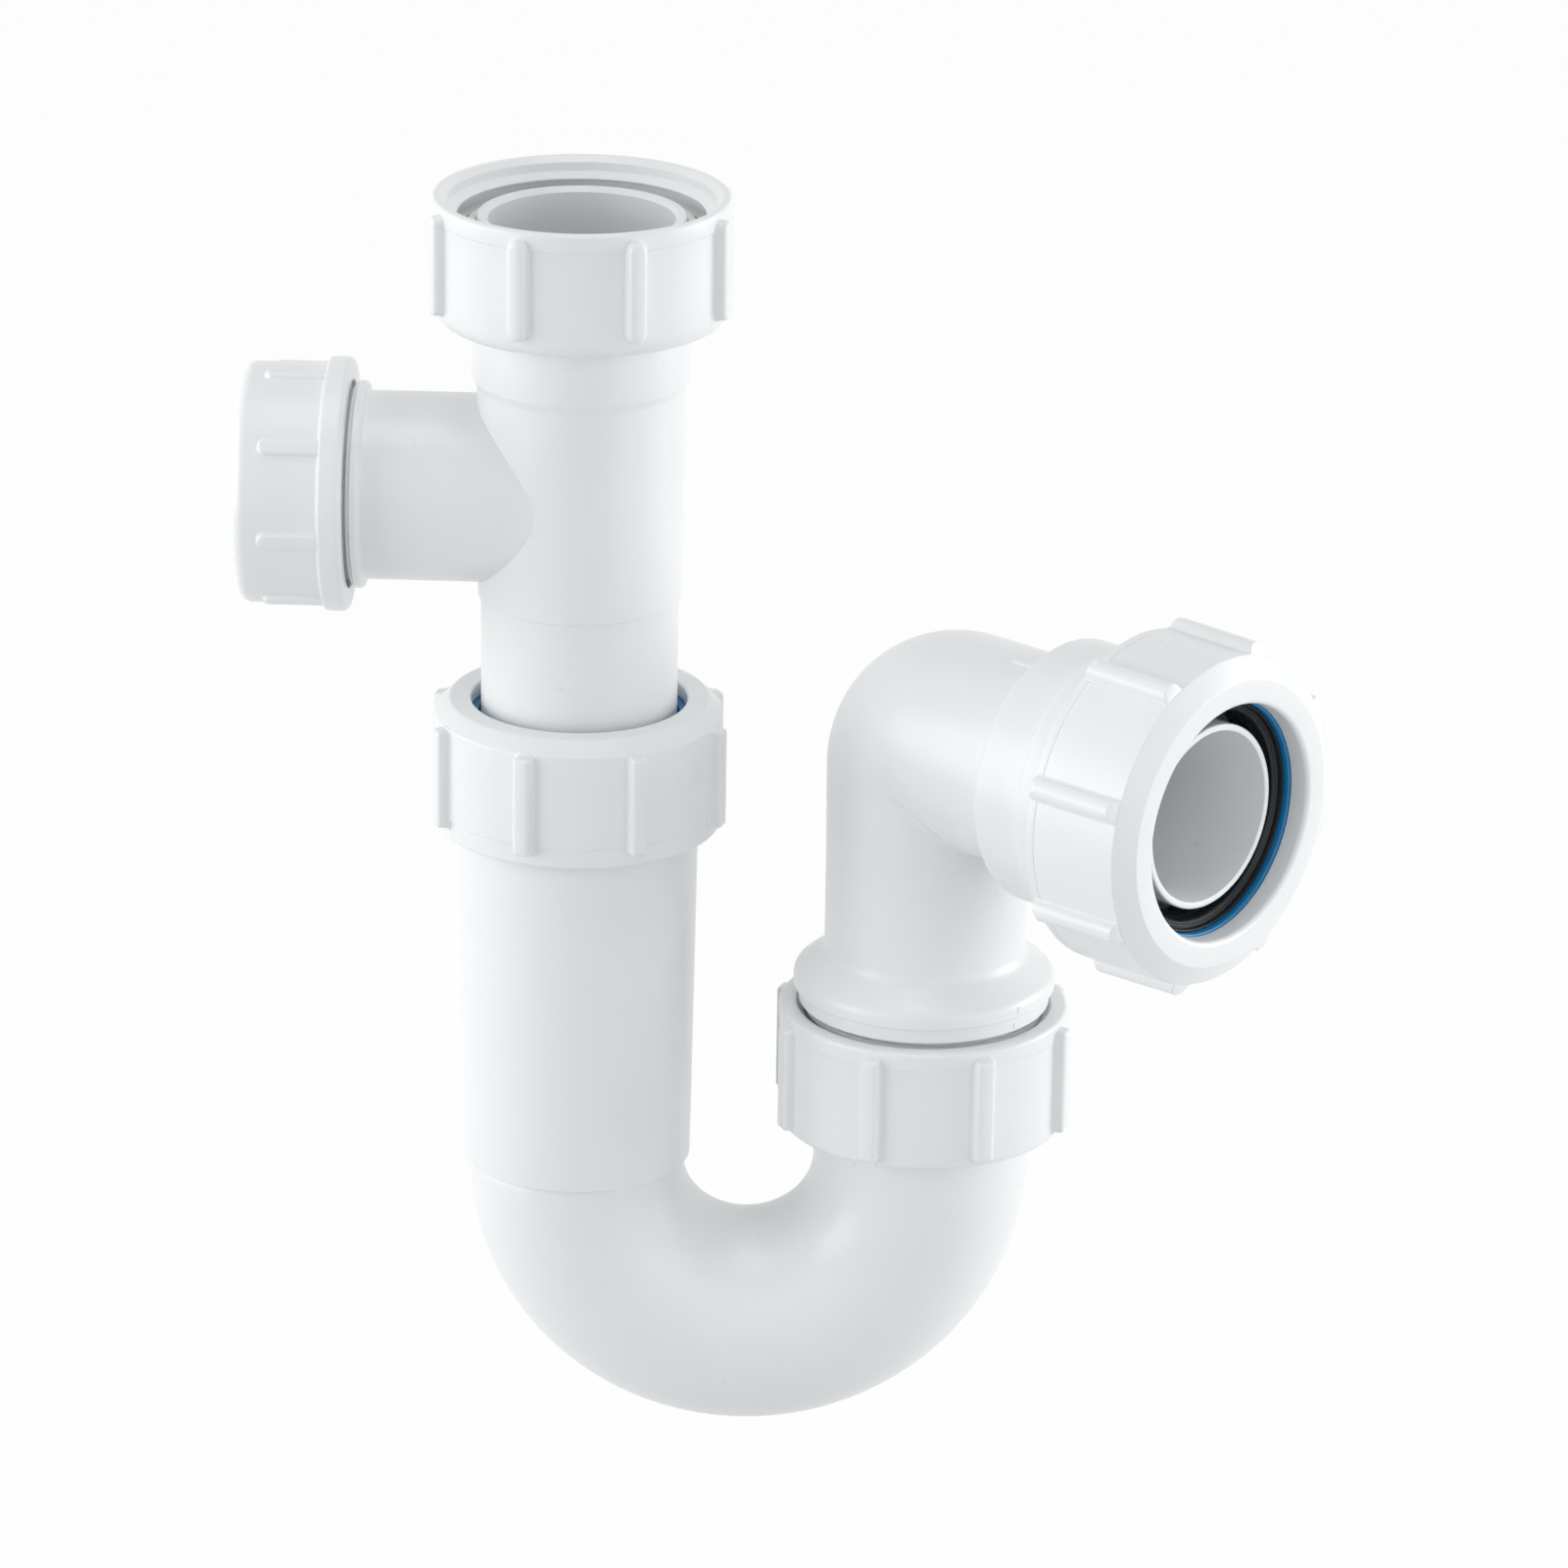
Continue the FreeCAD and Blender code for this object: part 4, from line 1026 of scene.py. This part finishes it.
@dataclass
class TrapBody:
    """Socket, return bend and flanged outlet leg."""

    mouth: float = -94.65
    thread_core: float = 21.12
    thread_length: float = 15.5
    thread_gaps: tuple[float, float] = (1.0, 1.6)
    socket_top: float = 20.75
    socket_end_radius: float = 19.85
    socket_end: float = -174.3
    undercut: float = 0.35
    bend_height: float = -175.3
    bend_gaps: tuple[float, float] = (0.5, 0.3)
    tube_radius: float = 18.8
    wall: float = 2.0
    leg_top: float = 19.3
    leg_taper_end: float = 4.1
    flange_foot: float = -164.8
    flange: tuple[float, float] = (20.2, 2.2)
    socket_bore: tuple[float, float] = (18.2, 17.6)
    socket_shelf: float = 2.0
    seat: tuple[float, float, float] = (20.2, 18.4, 5.6)
    bend_steps: int = 72

    def bend(self, radius: float) -> list[np.ndarray]:
        """Rings of one radius round the return bend, from the inlet leg to the outlet leg."""
        half = LEG_SPACING / 2
        reach = half + radius * COS
        rings: list[np.ndarray] = []
        for step in range(self.bend_steps + 1):
            turn = math.pi * step / self.bend_steps
            across, height = half - reach * math.cos(turn), self.bend_height - reach * math.sin(turn)
            rings.append(np.stack([across, radius * SIN, height], -1))
        return rings

    def stretch(self, corners: Sequence[Corner], far: bool) -> list[np.ndarray]:
        """Level rings along an open run of corners, about the inlet leg or the far, outlet leg."""
        centre, side = (LEG_SPACING, 1.0) if far else (0.0, -1.0)
        return [
            np.stack([centre + side * radius * COS, radius * SIN, np.full(AROUND, height)], -1)
            for radius, height in opened(corners)
        ]

    def mesh(self, shop: Workshop) -> bpy.types.Mesh:
        """The body with the socket's thread."""
        bore = self.tube_radius - self.wall
        thread_end = self.mouth - self.thread_length
        flange_radius, flange_thick = self.flange
        head = self.flange_foot + flange_thick
        seat_top, seat_end, seat_depth = self.seat
        bore_top, bore_end = self.socket_bore
        far_gap, near_gap = self.bend_gaps
        socket = self.stretch([
            ((seat_top + seat_end) / 2, self.mouth - seat_depth / 2, 0),
            (seat_top, self.mouth, 0.15),
            (self.thread_core, self.mouth, 0.4),
            (self.thread_core, thread_end, 0.2),
            (self.socket_top, thread_end - self.thread_core + self.socket_top, 0.2),
            (self.socket_end_radius, self.socket_end, 0.5),
            (self.tube_radius - self.undercut, self.socket_end, 0.2),
            (self.tube_radius, self.bend_height, 0),
        ], False)
        leg = self.stretch([
            (self.tube_radius, self.bend_height + far_gap, 0),
            (self.leg_top, self.flange_foot - self.leg_taper_end, 2.0),
            (self.leg_top, self.flange_foot, 0.2),
            (flange_radius, self.flange_foot, 0.2),
            (flange_radius, head, 0.4),
            (bore, head, 0.2),
            (bore, self.bend_height + far_gap, 0),
        ], True)
        inside = self.stretch([
            (bore, self.bend_height + near_gap, 0),
            (bore, self.socket_end, 0),
            (bore_end, self.socket_end + self.socket_shelf, 0),
            (bore_top, self.mouth - seat_depth, 0),
            (seat_end, self.mouth - seat_depth, 0),
        ], False)
        rings = socket + self.bend(self.tube_radius)[1:] + leg + self.bend(bore)[::-1] + inside
        low, high = self.thread_gaps
        thread = Thread(self.thread_core + CORE_RIDGE, thread_end + low, self.mouth - high)
        return shop.threaded("trap_body", skin("trap_body", np.array(rings)), thread)

    def build(self, shop: Workshop) -> None:
        """Builds and places the body."""
        place_piece("trap_body", self.mesh(shop), Axis.INLET, Finishes.WHITE)


@dataclass
class UnionJoint:
    """The captive nut on the outlet leg, and the washer under the elbow."""

    top: float = -146.0
    length: float = 21.8
    radius: float = 25.1
    lip: float = 2.9
    hole: float = 19.65
    bore: float = 20.955
    mouth: tuple[float, float] = (22.3, 1.4)
    rim_band: float = 3.0
    rim_step: tuple[float, float] = (0.15, 0.25)
    rib: Rib = Rib(width=3.4, length=19.2, height=2.0, corner=0.8, edge=0.8)
    rib_gaps: tuple[float, float] = (1.4, 1.2)
    rib_turn: float = 21.5
    thread_depths: tuple[float, float] = (7.6, 0.9)
    nib: Rib = Rib(1.2, 1.2, 0.5, corner=0.6, edge=0.3, root=0.15)
    nib_inset: float = 0.6
    nib_turn: float = 247.6
    washer: tuple[float, float, float, float] = (17.0, 19.2, -162.55, -160.75)

    def nut(self, shop: Workshop) -> bpy.types.Mesh:
        """The ribbed nut with its inner thread."""
        foot = self.top - self.length
        mouth_radius, mouth_depth = self.mouth
        band, band_slope = self.rim_step
        body = turned("union_nut", [
            (self.hole, foot),
            (self.radius, foot, 1.2),
            (self.radius, self.top - self.rim_band - band_slope, 0.1),
            (self.radius + band, self.top - self.rim_band, 0.1),
            (self.radius + band, self.top, 0.7),
            (mouth_radius, self.top, 0.3),
            (self.bore, self.top - mouth_depth),
            (self.bore, foot + self.lip),
            (self.hole, foot + self.lip),
        ])
        low, high = self.rib_gaps
        ribs = shop.ribbed(body, self.rib, self.radius, (foot + low + self.top - high) / 2, self.rib_turn)
        deep, shallow = self.thread_depths
        thread = Thread(self.bore + BORE_RIDGE, self.top - deep, self.top - mouth_depth - shallow)
        nib = self.nib.mesh(self.radius - self.nib_inset, foot + self.nib_inset, self.nib_turn)
        return shop.threaded("union_nut", ribs, thread, nib)

    def build(self, shop: Workshop) -> None:
        """Builds and places the nut and the washer."""
        place_piece("union_nut", self.nut(shop), Axis.OUTLET_LEG, Finishes.WHITE)
        place_piece("union_washer", flat_ring("washer", self.washer), Axis.OUTLET_LEG, Finishes.WASHER)


@dataclass
class OutletElbow:
    """Threaded foot, bell, leg, tight bend and outlet socket with its inner sleeve."""

    foot: float = -160.7
    thread_core: float = 19.475
    bell_foot: float = -142.6
    bell_radius: float = 22.8
    bead_height: float = 2.6
    neck_height: float = 6.6
    ring: tuple[float, float] = (21.9, 2.65)
    leg_radius: float = 17.5
    bend_radii: tuple[float, float] = (17.65, 18.55)
    bend_gap: float = 2.8
    sweep: float = 7.5
    inner_sweep: float = 1.3
    corner_ease: float = 0.6
    leg_taper: float = 16.0
    least_taper: float = 0.02
    bore: float = 15.4
    bore_end: float = 2.0
    tube_radius: float = 18.6
    collar: tuple[float, float] = (23.1, 29.7)
    shoulder: tuple[float, float, float] = (25.0, 40.2, 43.4)
    shoulder_slope: float = 0.3
    outlet_core: float = 24.72
    mouth: float = 60.6
    pocket: tuple[float, float] = (20.2, 33.0)
    seat: tuple[float, float] = (23.3, 6.6)
    seat_step: float = 0.5
    sleeve: tuple[float, float, float] = (16.05, 14.85, 62.15)
    foot_thread_gaps: tuple[float, float] = (1.2, 3.9)
    outlet_thread_gaps: tuple[float, float] = (1.6, 1.4)
    pad: Rib = Rib(4.0, 9.6, 0.4, corner=1.2, edge=0.3, root=0.05)
    pad_overlap: float = 0.5
    pad_turn: float = 185.3
    tick: Rib = Rib(0.4, 1.2, 0.12, corner=0.15, edge=0.05, root=0.04)
    tick_heights: tuple[float, float] = (1.5, -1.6)
    tick_turn: float = -47.0
    bend_steps: int = 40

    def ring_points(
        self, radius: float, place: Callable[[np.ndarray], tuple[np.ndarray, np.ndarray]]
    ) -> np.ndarray:
        """One ring of the elbow.

        Args:
            radius: The ring's radius.
            place: Gives each point's reach along the outlet and its height, from how far it lies
                towards the bend's inner corner.

        Returns:
            The ring's points.
        """
        a = math.radians(OUTLET_TURN)
        ahead, across = (math.cos(a), math.sin(a), 0.0), (-math.sin(a), math.cos(a), 0.0)
        reach, height = place(radius * COS)
        points = np.outer(reach, ahead) + np.outer(radius * SIN, across)
        points[:, 0] += LEG_SPACING
        points[:, 2] = height
        return points

    def leg_ring(self, radius: float, height: float) -> np.ndarray:
        """A level ring about the leg."""
        return self.ring_points(radius, lambda inward: (inward, np.full(AROUND, height)))

    def outlet_ring(self, radius: float, along: float) -> np.ndarray:
        """An upright ring about the outlet's axis."""
        return self.ring_points(radius, lambda inward: (np.full(AROUND, along), OUTLET_HEIGHT - inward))

    def bend_ring(self, radius: float, turn: float) -> np.ndarray:
        """A ring at an angle through the bend, whose inner side turns about its own tight corner."""

        def place(inward: np.ndarray) -> tuple[np.ndarray, np.ndarray]:
            gap = self.sweep - inward - self.inner_sweep
            curve = self.inner_sweep + (gap + np.sqrt(gap * gap + self.corner_ease)) / 2
            reach = inward + curve - curve * math.cos(turn)
            return reach, OUTLET_HEIGHT - inward - curve + curve * math.sin(turn)

        return self.ring_points(radius, place)

    def bend(self, first: float, last: float) -> list[np.ndarray]:
        """Rings from the leg, round the bend, to the outlet.

        Args:
            first: Radius at the leg.
            last: Radius at the outlet.

        Returns:
            The rings.
        """
        shares = np.linspace(0, 1, self.bend_steps + 1)
        return [self.bend_ring(first + (last - first) * float(k), math.pi / 2 * float(k)) for k in shares]

    def between(self, first: np.ndarray, last: np.ndarray, count: int = 5) -> list[np.ndarray]:
        """Rings evenly spaced between two, without the two."""
        return [first + (last - first) * k / count for k in range(1, count)]

    def run(self, corners: Sequence[Corner], make: Callable[[float, float], np.ndarray]) -> list[np.ndarray]:
        """Rings along an open run of (radius, distance, round) corners."""
        return [make(float(radius), float(distance)) for radius, distance in opened(corners)]

    def leg(self) -> list[np.ndarray]:
        """Rings from inside the foot, down, round and up the outside to the bend."""
        start = OUTLET_HEIGHT - self.sweep
        ring_radius, ring_height = self.ring
        bend_first, bend_last = self.bend_radii
        low = OUTLET_HEIGHT - bend_last - self.bend_gap
        share = (low - start + self.leg_taper) / self.leg_taper
        return self.run([
            (self.bore, self.foot + self.bore_end, 0),
            (self.bore, self.foot, 0.3),
            (self.thread_core, self.foot, 0.5),
            (self.thread_core, self.bell_foot - ring_height, 0.1),
            (ring_radius, self.bell_foot - ring_height, 0.2),
            (ring_radius, self.bell_foot, 0.1),
            (self.bell_radius, self.bell_foot, 1.0),
            (self.bell_radius, self.bell_foot + self.bead_height, 2.0),
            (self.leg_radius, self.bell_foot + self.neck_height, 3.0),
            (self.leg_radius, start - self.leg_taper, 0),
            (self.leg_radius + (bend_first - self.leg_radius) * max(share, self.least_taper), low, 0),
        ], self.leg_ring)

    def outlet(self) -> list[np.ndarray]:
        """Rings from the bend, out over the collar, in over the sleeve and back down the bore."""
        bend_last = self.bend_radii[1]
        collar_radius, collar_start = self.collar
        shoulder_radius, shoulder_start, shoulder_end = self.shoulder
        pocket_radius, pocket_end = self.pocket
        seat_radius, seat_depth = self.seat
        sleeve_radius, sleeve_bore, sleeve_end = self.sleeve
        return self.run([
            (bend_last, bend_last + self.bend_gap, 0),
            (self.tube_radius, collar_start, 0.4),
            (collar_radius, collar_start, 0.8),
            (collar_radius, shoulder_start, 1.0),
            (shoulder_radius, shoulder_start, 1.0),
            (shoulder_radius, shoulder_end, 0.2),
            (self.outlet_core, shoulder_end + self.shoulder_slope, 0.1),
            (self.outlet_core, self.mouth, 0.4),
            (seat_radius, self.mouth, 0.2),
            (pocket_radius + self.seat_step, self.mouth - seat_depth, 0.1),
            (pocket_radius, self.mouth - seat_depth, 0.1),
            (pocket_radius, pocket_end, 0.5),
            (sleeve_radius, pocket_end, 0.5),
            (sleeve_radius, sleeve_end, 0.4),
            (sleeve_bore, sleeve_end, 0.3),
            (sleeve_bore, pocket_end - self.bore_end, 0),
            (self.bore, self.bore + self.bend_gap, 0),
        ], self.outlet_ring)

    def mesh(self, shop: Workshop) -> bpy.types.Mesh:
        """The elbow with both its threads, its moulding pad and its parting ticks."""
        leg, bend, outlet = self.leg(), self.bend(*self.bend_radii), self.outlet()
        inner = self.bend(self.bore, self.bore)[::-1]
        down = self.leg_ring(self.bore, OUTLET_HEIGHT - self.bore - self.bend_gap)
        rings = [*leg, *self.between(leg[-1], bend[0]), *bend, *self.between(bend[-1], outlet[0]), *outlet]
        rings += [*self.between(outlet[-1], inner[0]), *inner, *self.between(inner[-1], down), down]
        low, high = self.foot_thread_gaps
        wound = shop.wound(Thread(
            self.thread_core + CORE_RIDGE, self.foot + low, self.bell_foot - high,
        ))
        low, high = self.outlet_thread_gaps
        outer = shop.wound(Thread(
            self.outlet_core + CORE_RIDGE, self.shoulder[2] + low, self.mouth - high,
        ))
        pad_middle = self.collar[1] + self.pad_overlap - self.pad.length / 2
        boss = self.pad.mesh(self.bend_radii[1], pad_middle, self.pad_turn)
        ticks = [
            self.tick.mesh(radius, self.bell_foot + height, self.tick_turn)
            for radius, height in zip((self.bell_radius, self.ring[0]), self.tick_heights)
        ]
        for axis, pieces in ((Axis.OUTLET, (outer, boss)), (Axis.OUTLET_LEG, (wound, *ticks))):
            for piece in pieces:
                piece.transform(axis.placement())
        return combined("outlet_elbow", [skin("outlet_elbow", np.array(rings)), wound, outer, boss, *ticks])

    def build(self, shop: Workshop) -> None:
        """Builds and places the elbow."""
        place_piece("outlet_elbow", self.mesh(shop), Axis.INLET, Finishes.WHITE)


@dataclass
class OutletJoint:
    """The large compression nut at the outlet, with its slip ring and wedge seal."""

    radius: float = 28.5
    start: float = 45.9
    end: float = 66.9
    bore: float = 26.2
    bore_lead: float = 0.6
    opening: float = 20.55
    lip: float = 3.75
    face_radius: float = 24.9
    chamfer: float = 2.4
    rear_radius: float = 28.9
    rear_band: float = 1.8
    rear_steps: tuple[float, float, float] = (0.15, 0.3, 0.05)
    rear_slopes: tuple[float, float] = (0.15, 0.5)
    rib: Rib = Rib(width=4.1, length=18.1, height=2.0, corner=1.2, edge=1.7, root=0.3, bevel=0.4, flare=0.4)
    rib_gaps: tuple[float, float] = (0.4, 2.5)
    rib_turn: float = 27.5
    thread_gaps: tuple[float, float] = (1.8, 3.6)
    ring: tuple[float, float, float, float] = (20.1, 24.37, 61.4, 63.1)
    ring_round: float = 0.4
    seal_bore: float = 18.25
    seal_foot: float = 54.1
    seal_foot_radius: float = 20.6
    seal_wedge: tuple[float, float] = (23.2, 60.5)
    seal_head: float = 61.35
    seal_edge: float = 0.25
    seal_lips: tuple[Corner, ...] = (
        (20.02, 0.0, 0.05), (20.02, 0.65, 0.12), (19.7, 0.65, 0.12), (19.5, -0.3, 0.2), (19.3, 0.0, 0.12),
        (19.1, 0.0, 0.12), (18.9, -0.4, 0.2), (18.65, -0.1, 0.2),
    )
    seal_grooves: tuple[tuple[float, float], ...] = (
        (0.0, 0.6), (0.0, 1.8), (0.5, 2.4), (0.0, 3.0), (0.0, 4.2), (0.5, 4.8), (0.0, 5.4),
    )

    def nut(self, shop: Workshop) -> bpy.types.Mesh:
        """The ribbed nut with its inner thread."""
        rear, band = self.rear_radius, self.start + self.rear_band
        flat, dip, rise = self.rear_steps
        near, far = self.rear_slopes
        body = turned("outlet_nut", [
            (self.bore + self.bore_lead, self.start),
            (rear - flat, self.start, 0.6),
            (rear - flat, band, 0.1),
            (rear - dip, band + near, 0.1),
            (rear - rise, band + far, 0.2),
            (self.radius, self.end - self.chamfer, 0.4),
            (self.face_radius, self.end, 0.4),
            (self.opening, self.end, 0.9),
            (self.opening, self.end - self.lip),
            (self.bore, self.end - self.lip),
            (self.bore, self.start + self.bore_lead),
        ])
        low, high = self.rib_gaps
        ribs = shop.ribbed(body, self.rib, self.radius, (self.start + low + self.end - high) / 2, self.rib_turn)
        low, high = self.thread_gaps
        thread = Thread(self.bore + BORE_RIDGE, self.start + low, self.end - self.lip - high)
        return shop.threaded("outlet_nut", ribs, thread)

    def seal(self) -> bpy.types.Mesh:
        """The wedge seal with its rolled lips and the grooves in its bore."""
        foot, head, bore = self.seal_foot, self.seal_head, self.seal_bore
        rim, wedge = self.seal_wedge
        return turned("outlet_seal", [
            (bore, foot, 0.2),
            (self.seal_foot_radius, foot, 0.2),
            (rim, wedge, 0.2),
            (rim, head - self.seal_edge, 0.1),
            (rim - self.seal_edge, head, 0.1),
            *((radius, head + height, round_size) for radius, height, round_size in self.seal_lips),
            *((bore + out, head - depth, 0.3) for out, depth in self.seal_grooves),
        ])

    def build(self, shop: Workshop) -> None:
        """Builds and places the nut, the ring and the seal."""
        place_piece("outlet_nut", self.nut(shop), Axis.OUTLET, Finishes.WHITE)
        ring = flat_ring("ring", self.ring, self.ring_round)
        place_piece("outlet_ring", ring, Axis.OUTLET, Finishes.BLUE, "outlet_slip_ring")
        place_piece("outlet_seal", self.seal(), Axis.OUTLET, Finishes.BLACK, body="outlet_elbow")


# Stage


@dataclass(frozen=True)
class Softbox:
    """A soft area light that faces the trap. The place and size are in metres."""

    name: str
    place: Point
    size: tuple[float, float]
    energy: float

    def build(self, target: Vector) -> None:
        """Adds the light, turned to the target."""
        data = bpy.data.lights.new(self.name, "AREA")
        data.shape = "RECTANGLE"
        data.size, data.size_y = self.size
        data.energy = self.energy
        lamp = new_object(self.name, data)
        lamp.location = self.place
        lamp.rotation_euler = (target - lamp.location).to_track_quat("-Z", "Y").to_euler()


@dataclass
class Studio:
    """Floor, light and camera. Lengths are in metres and angles in radians; colours are linear."""

    target: Point = (0.0354899, 0.0, -0.1056788)
    azimuth: float = 0.03833167
    elevation: float = 0.35820904
    roll: float = 0.01587870
    distance: float = 1.2803999
    focal_pixels: float = 7552.5792
    image_width: float = 1600.0
    sensor: float = 36.0
    view_range: tuple[float, float] = (0.05, 30.0)
    floor_height: float = -0.34
    floor_reach: float = 3.0
    floor_tint: tuple[float, float, float, float] = (0.66, 0.67, 0.68, 1)
    floor_glow: float = 0.97
    ambient: float = 0.48
    ambient_tint: tuple[float, float, float, float] = (0.97, 0.99, 1.0, 1)
    white: tuple[float, float, float, float] = (1, 1, 1, 1)
    lights: tuple[Softbox, ...] = (
        Softbox("left softbox", (-1.3, 0.15, 0.05), (0.8, 1.2), 8.2),
        Softbox("right softbox", (1.4, 0.15, 0.0), (0.9, 1.0), 11.4),
        Softbox("left front softbox", (-1.2, -0.6, 0.05), (0.6, 1.0), 5.1),
        Softbox("front softbox", (0.0, -1.7, 0.75), (2.4, 1.4), 2.9),
        Softbox("outlet softbox", (0.5, -0.46, -0.07), (0.4, 0.45), 0.58),
        Softbox("top softbox", (0.05, -0.1, 1.2), (0.7, 0.7), 2.9),
    )

    def camera(self) -> None:
        """Adds the camera at the photograph's viewing angle."""
        az, el = self.azimuth, self.elevation
        ahead = Vector((math.sin(az) * math.cos(el), math.cos(az) * math.cos(el), -math.sin(el)))
        right = Vector((math.cos(az), -math.sin(az), 0.0))
        up = right.cross(ahead)
        side = right * math.cos(self.roll) + up * math.sin(self.roll)
        top = up * math.cos(self.roll) - right * math.sin(self.roll)
        data = bpy.data.cameras.new("camera")
        data.sensor_fit = "HORIZONTAL"
        data.sensor_width = self.sensor
        data.lens = self.focal_pixels * self.sensor / self.image_width
        data.clip_start, data.clip_end = self.view_range
        made = new_object("camera", data)
        place = Matrix((side, top, -ahead)).transposed().to_4x4()
        place.translation = Vector(self.target) - ahead * self.distance
        made.matrix_world = place
        bpy.context.scene.camera = made

    def background(
        self, tree: bpy.types.NodeTree, plain: bpy.types.Node, shown: bpy.types.Node
    ) -> bpy.types.NodeSocket:
        """A shader that shows one way to the camera and to mirrors, and lights the part another way."""
        rays = add_node(tree, "ShaderNodeLightPath").outputs
        seen = math_node(tree, "MAXIMUM", rays["Is Camera Ray"], rays["Is Glossy Ray"])
        seen = math_node(tree, "MAXIMUM", seen, rays["Is Transmission Ray"])
        return self.mixed(tree, seen, plain, shown).outputs[0]

    def mixed(
        self, tree: bpy.types.NodeTree, share: object, first: bpy.types.Node, second: bpy.types.Node
    ) -> bpy.types.Node:
        """A Mix Shader node of two shaders."""
        return add_node(tree, "ShaderNodeMixShader", {
            "Fac": share, 1: first.outputs[0], 2: second.outputs[0],
        })

    def world(self) -> None:
        """Sets the soft ambient light and the white background."""
        made = bpy.data.worlds.new("studio")
        bpy.context.scene.world = made
        made.use_nodes = True
        tree = made.node_tree
        tree.nodes.clear()
        soft = add_node(tree, "ShaderNodeBackground", {"Color": self.ambient_tint, "Strength": self.ambient})
        white = add_node(tree, "ShaderNodeBackground", {"Color": self.white})
        add_node(tree, "ShaderNodeOutputWorld", {"Surface": self.background(tree, soft, white)})

    def floor(self) -> None:
        """Adds the pale floor, well below the hanging trap."""
        half, z = self.floor_reach, self.floor_height
        mesh = bpy.data.meshes.new("floor")
        corners = [(-half, -half, z), (half, -half, z), (half, half, z), (-half, half, z)]
        mesh.from_pydata(corners, [], [(0, 1, 2, 3)])
        floor = new_object("floor", mesh)
        pale = bpy.data.materials.new("pale floor")
        pale.use_nodes = True
        tree = pale.node_tree
        tree.nodes.clear()
        matt = add_node(tree, "ShaderNodeBsdfDiffuse", {"Color": self.floor_tint})
        glow = add_node(tree, "ShaderNodeEmission", {"Strength": 1.0})
        shown = self.mixed(tree, self.floor_glow, matt, glow)
        add_node(tree, "ShaderNodeOutputMaterial", {"Surface": self.background(tree, matt, shown)})
        mesh.materials.append(pale)

    def build(self) -> None:
        """Builds the whole stage."""
        self.world()
        self.floor()
        for light in self.lights:
            light.build(Vector(self.target))
        self.camera()
        bpy.context.scene.view_settings.view_transform = "Standard"


def main() -> None:
    """Loads the frame, builds every sub-assembly in order and sets the stage."""
    logging.basicConfig(level=logging.INFO, format="%(name)s: %(message)s")
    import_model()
    shop = Workshop()
    for part in (
        InletJoint(), InletTee(), SideCap(), AdjustingJoint(),
        TrapBody(), UnionJoint(), OutletElbow(), OutletJoint(),
    ):
        part.build(shop)
    Studio().build()


if __name__ == "__main__":
    main()
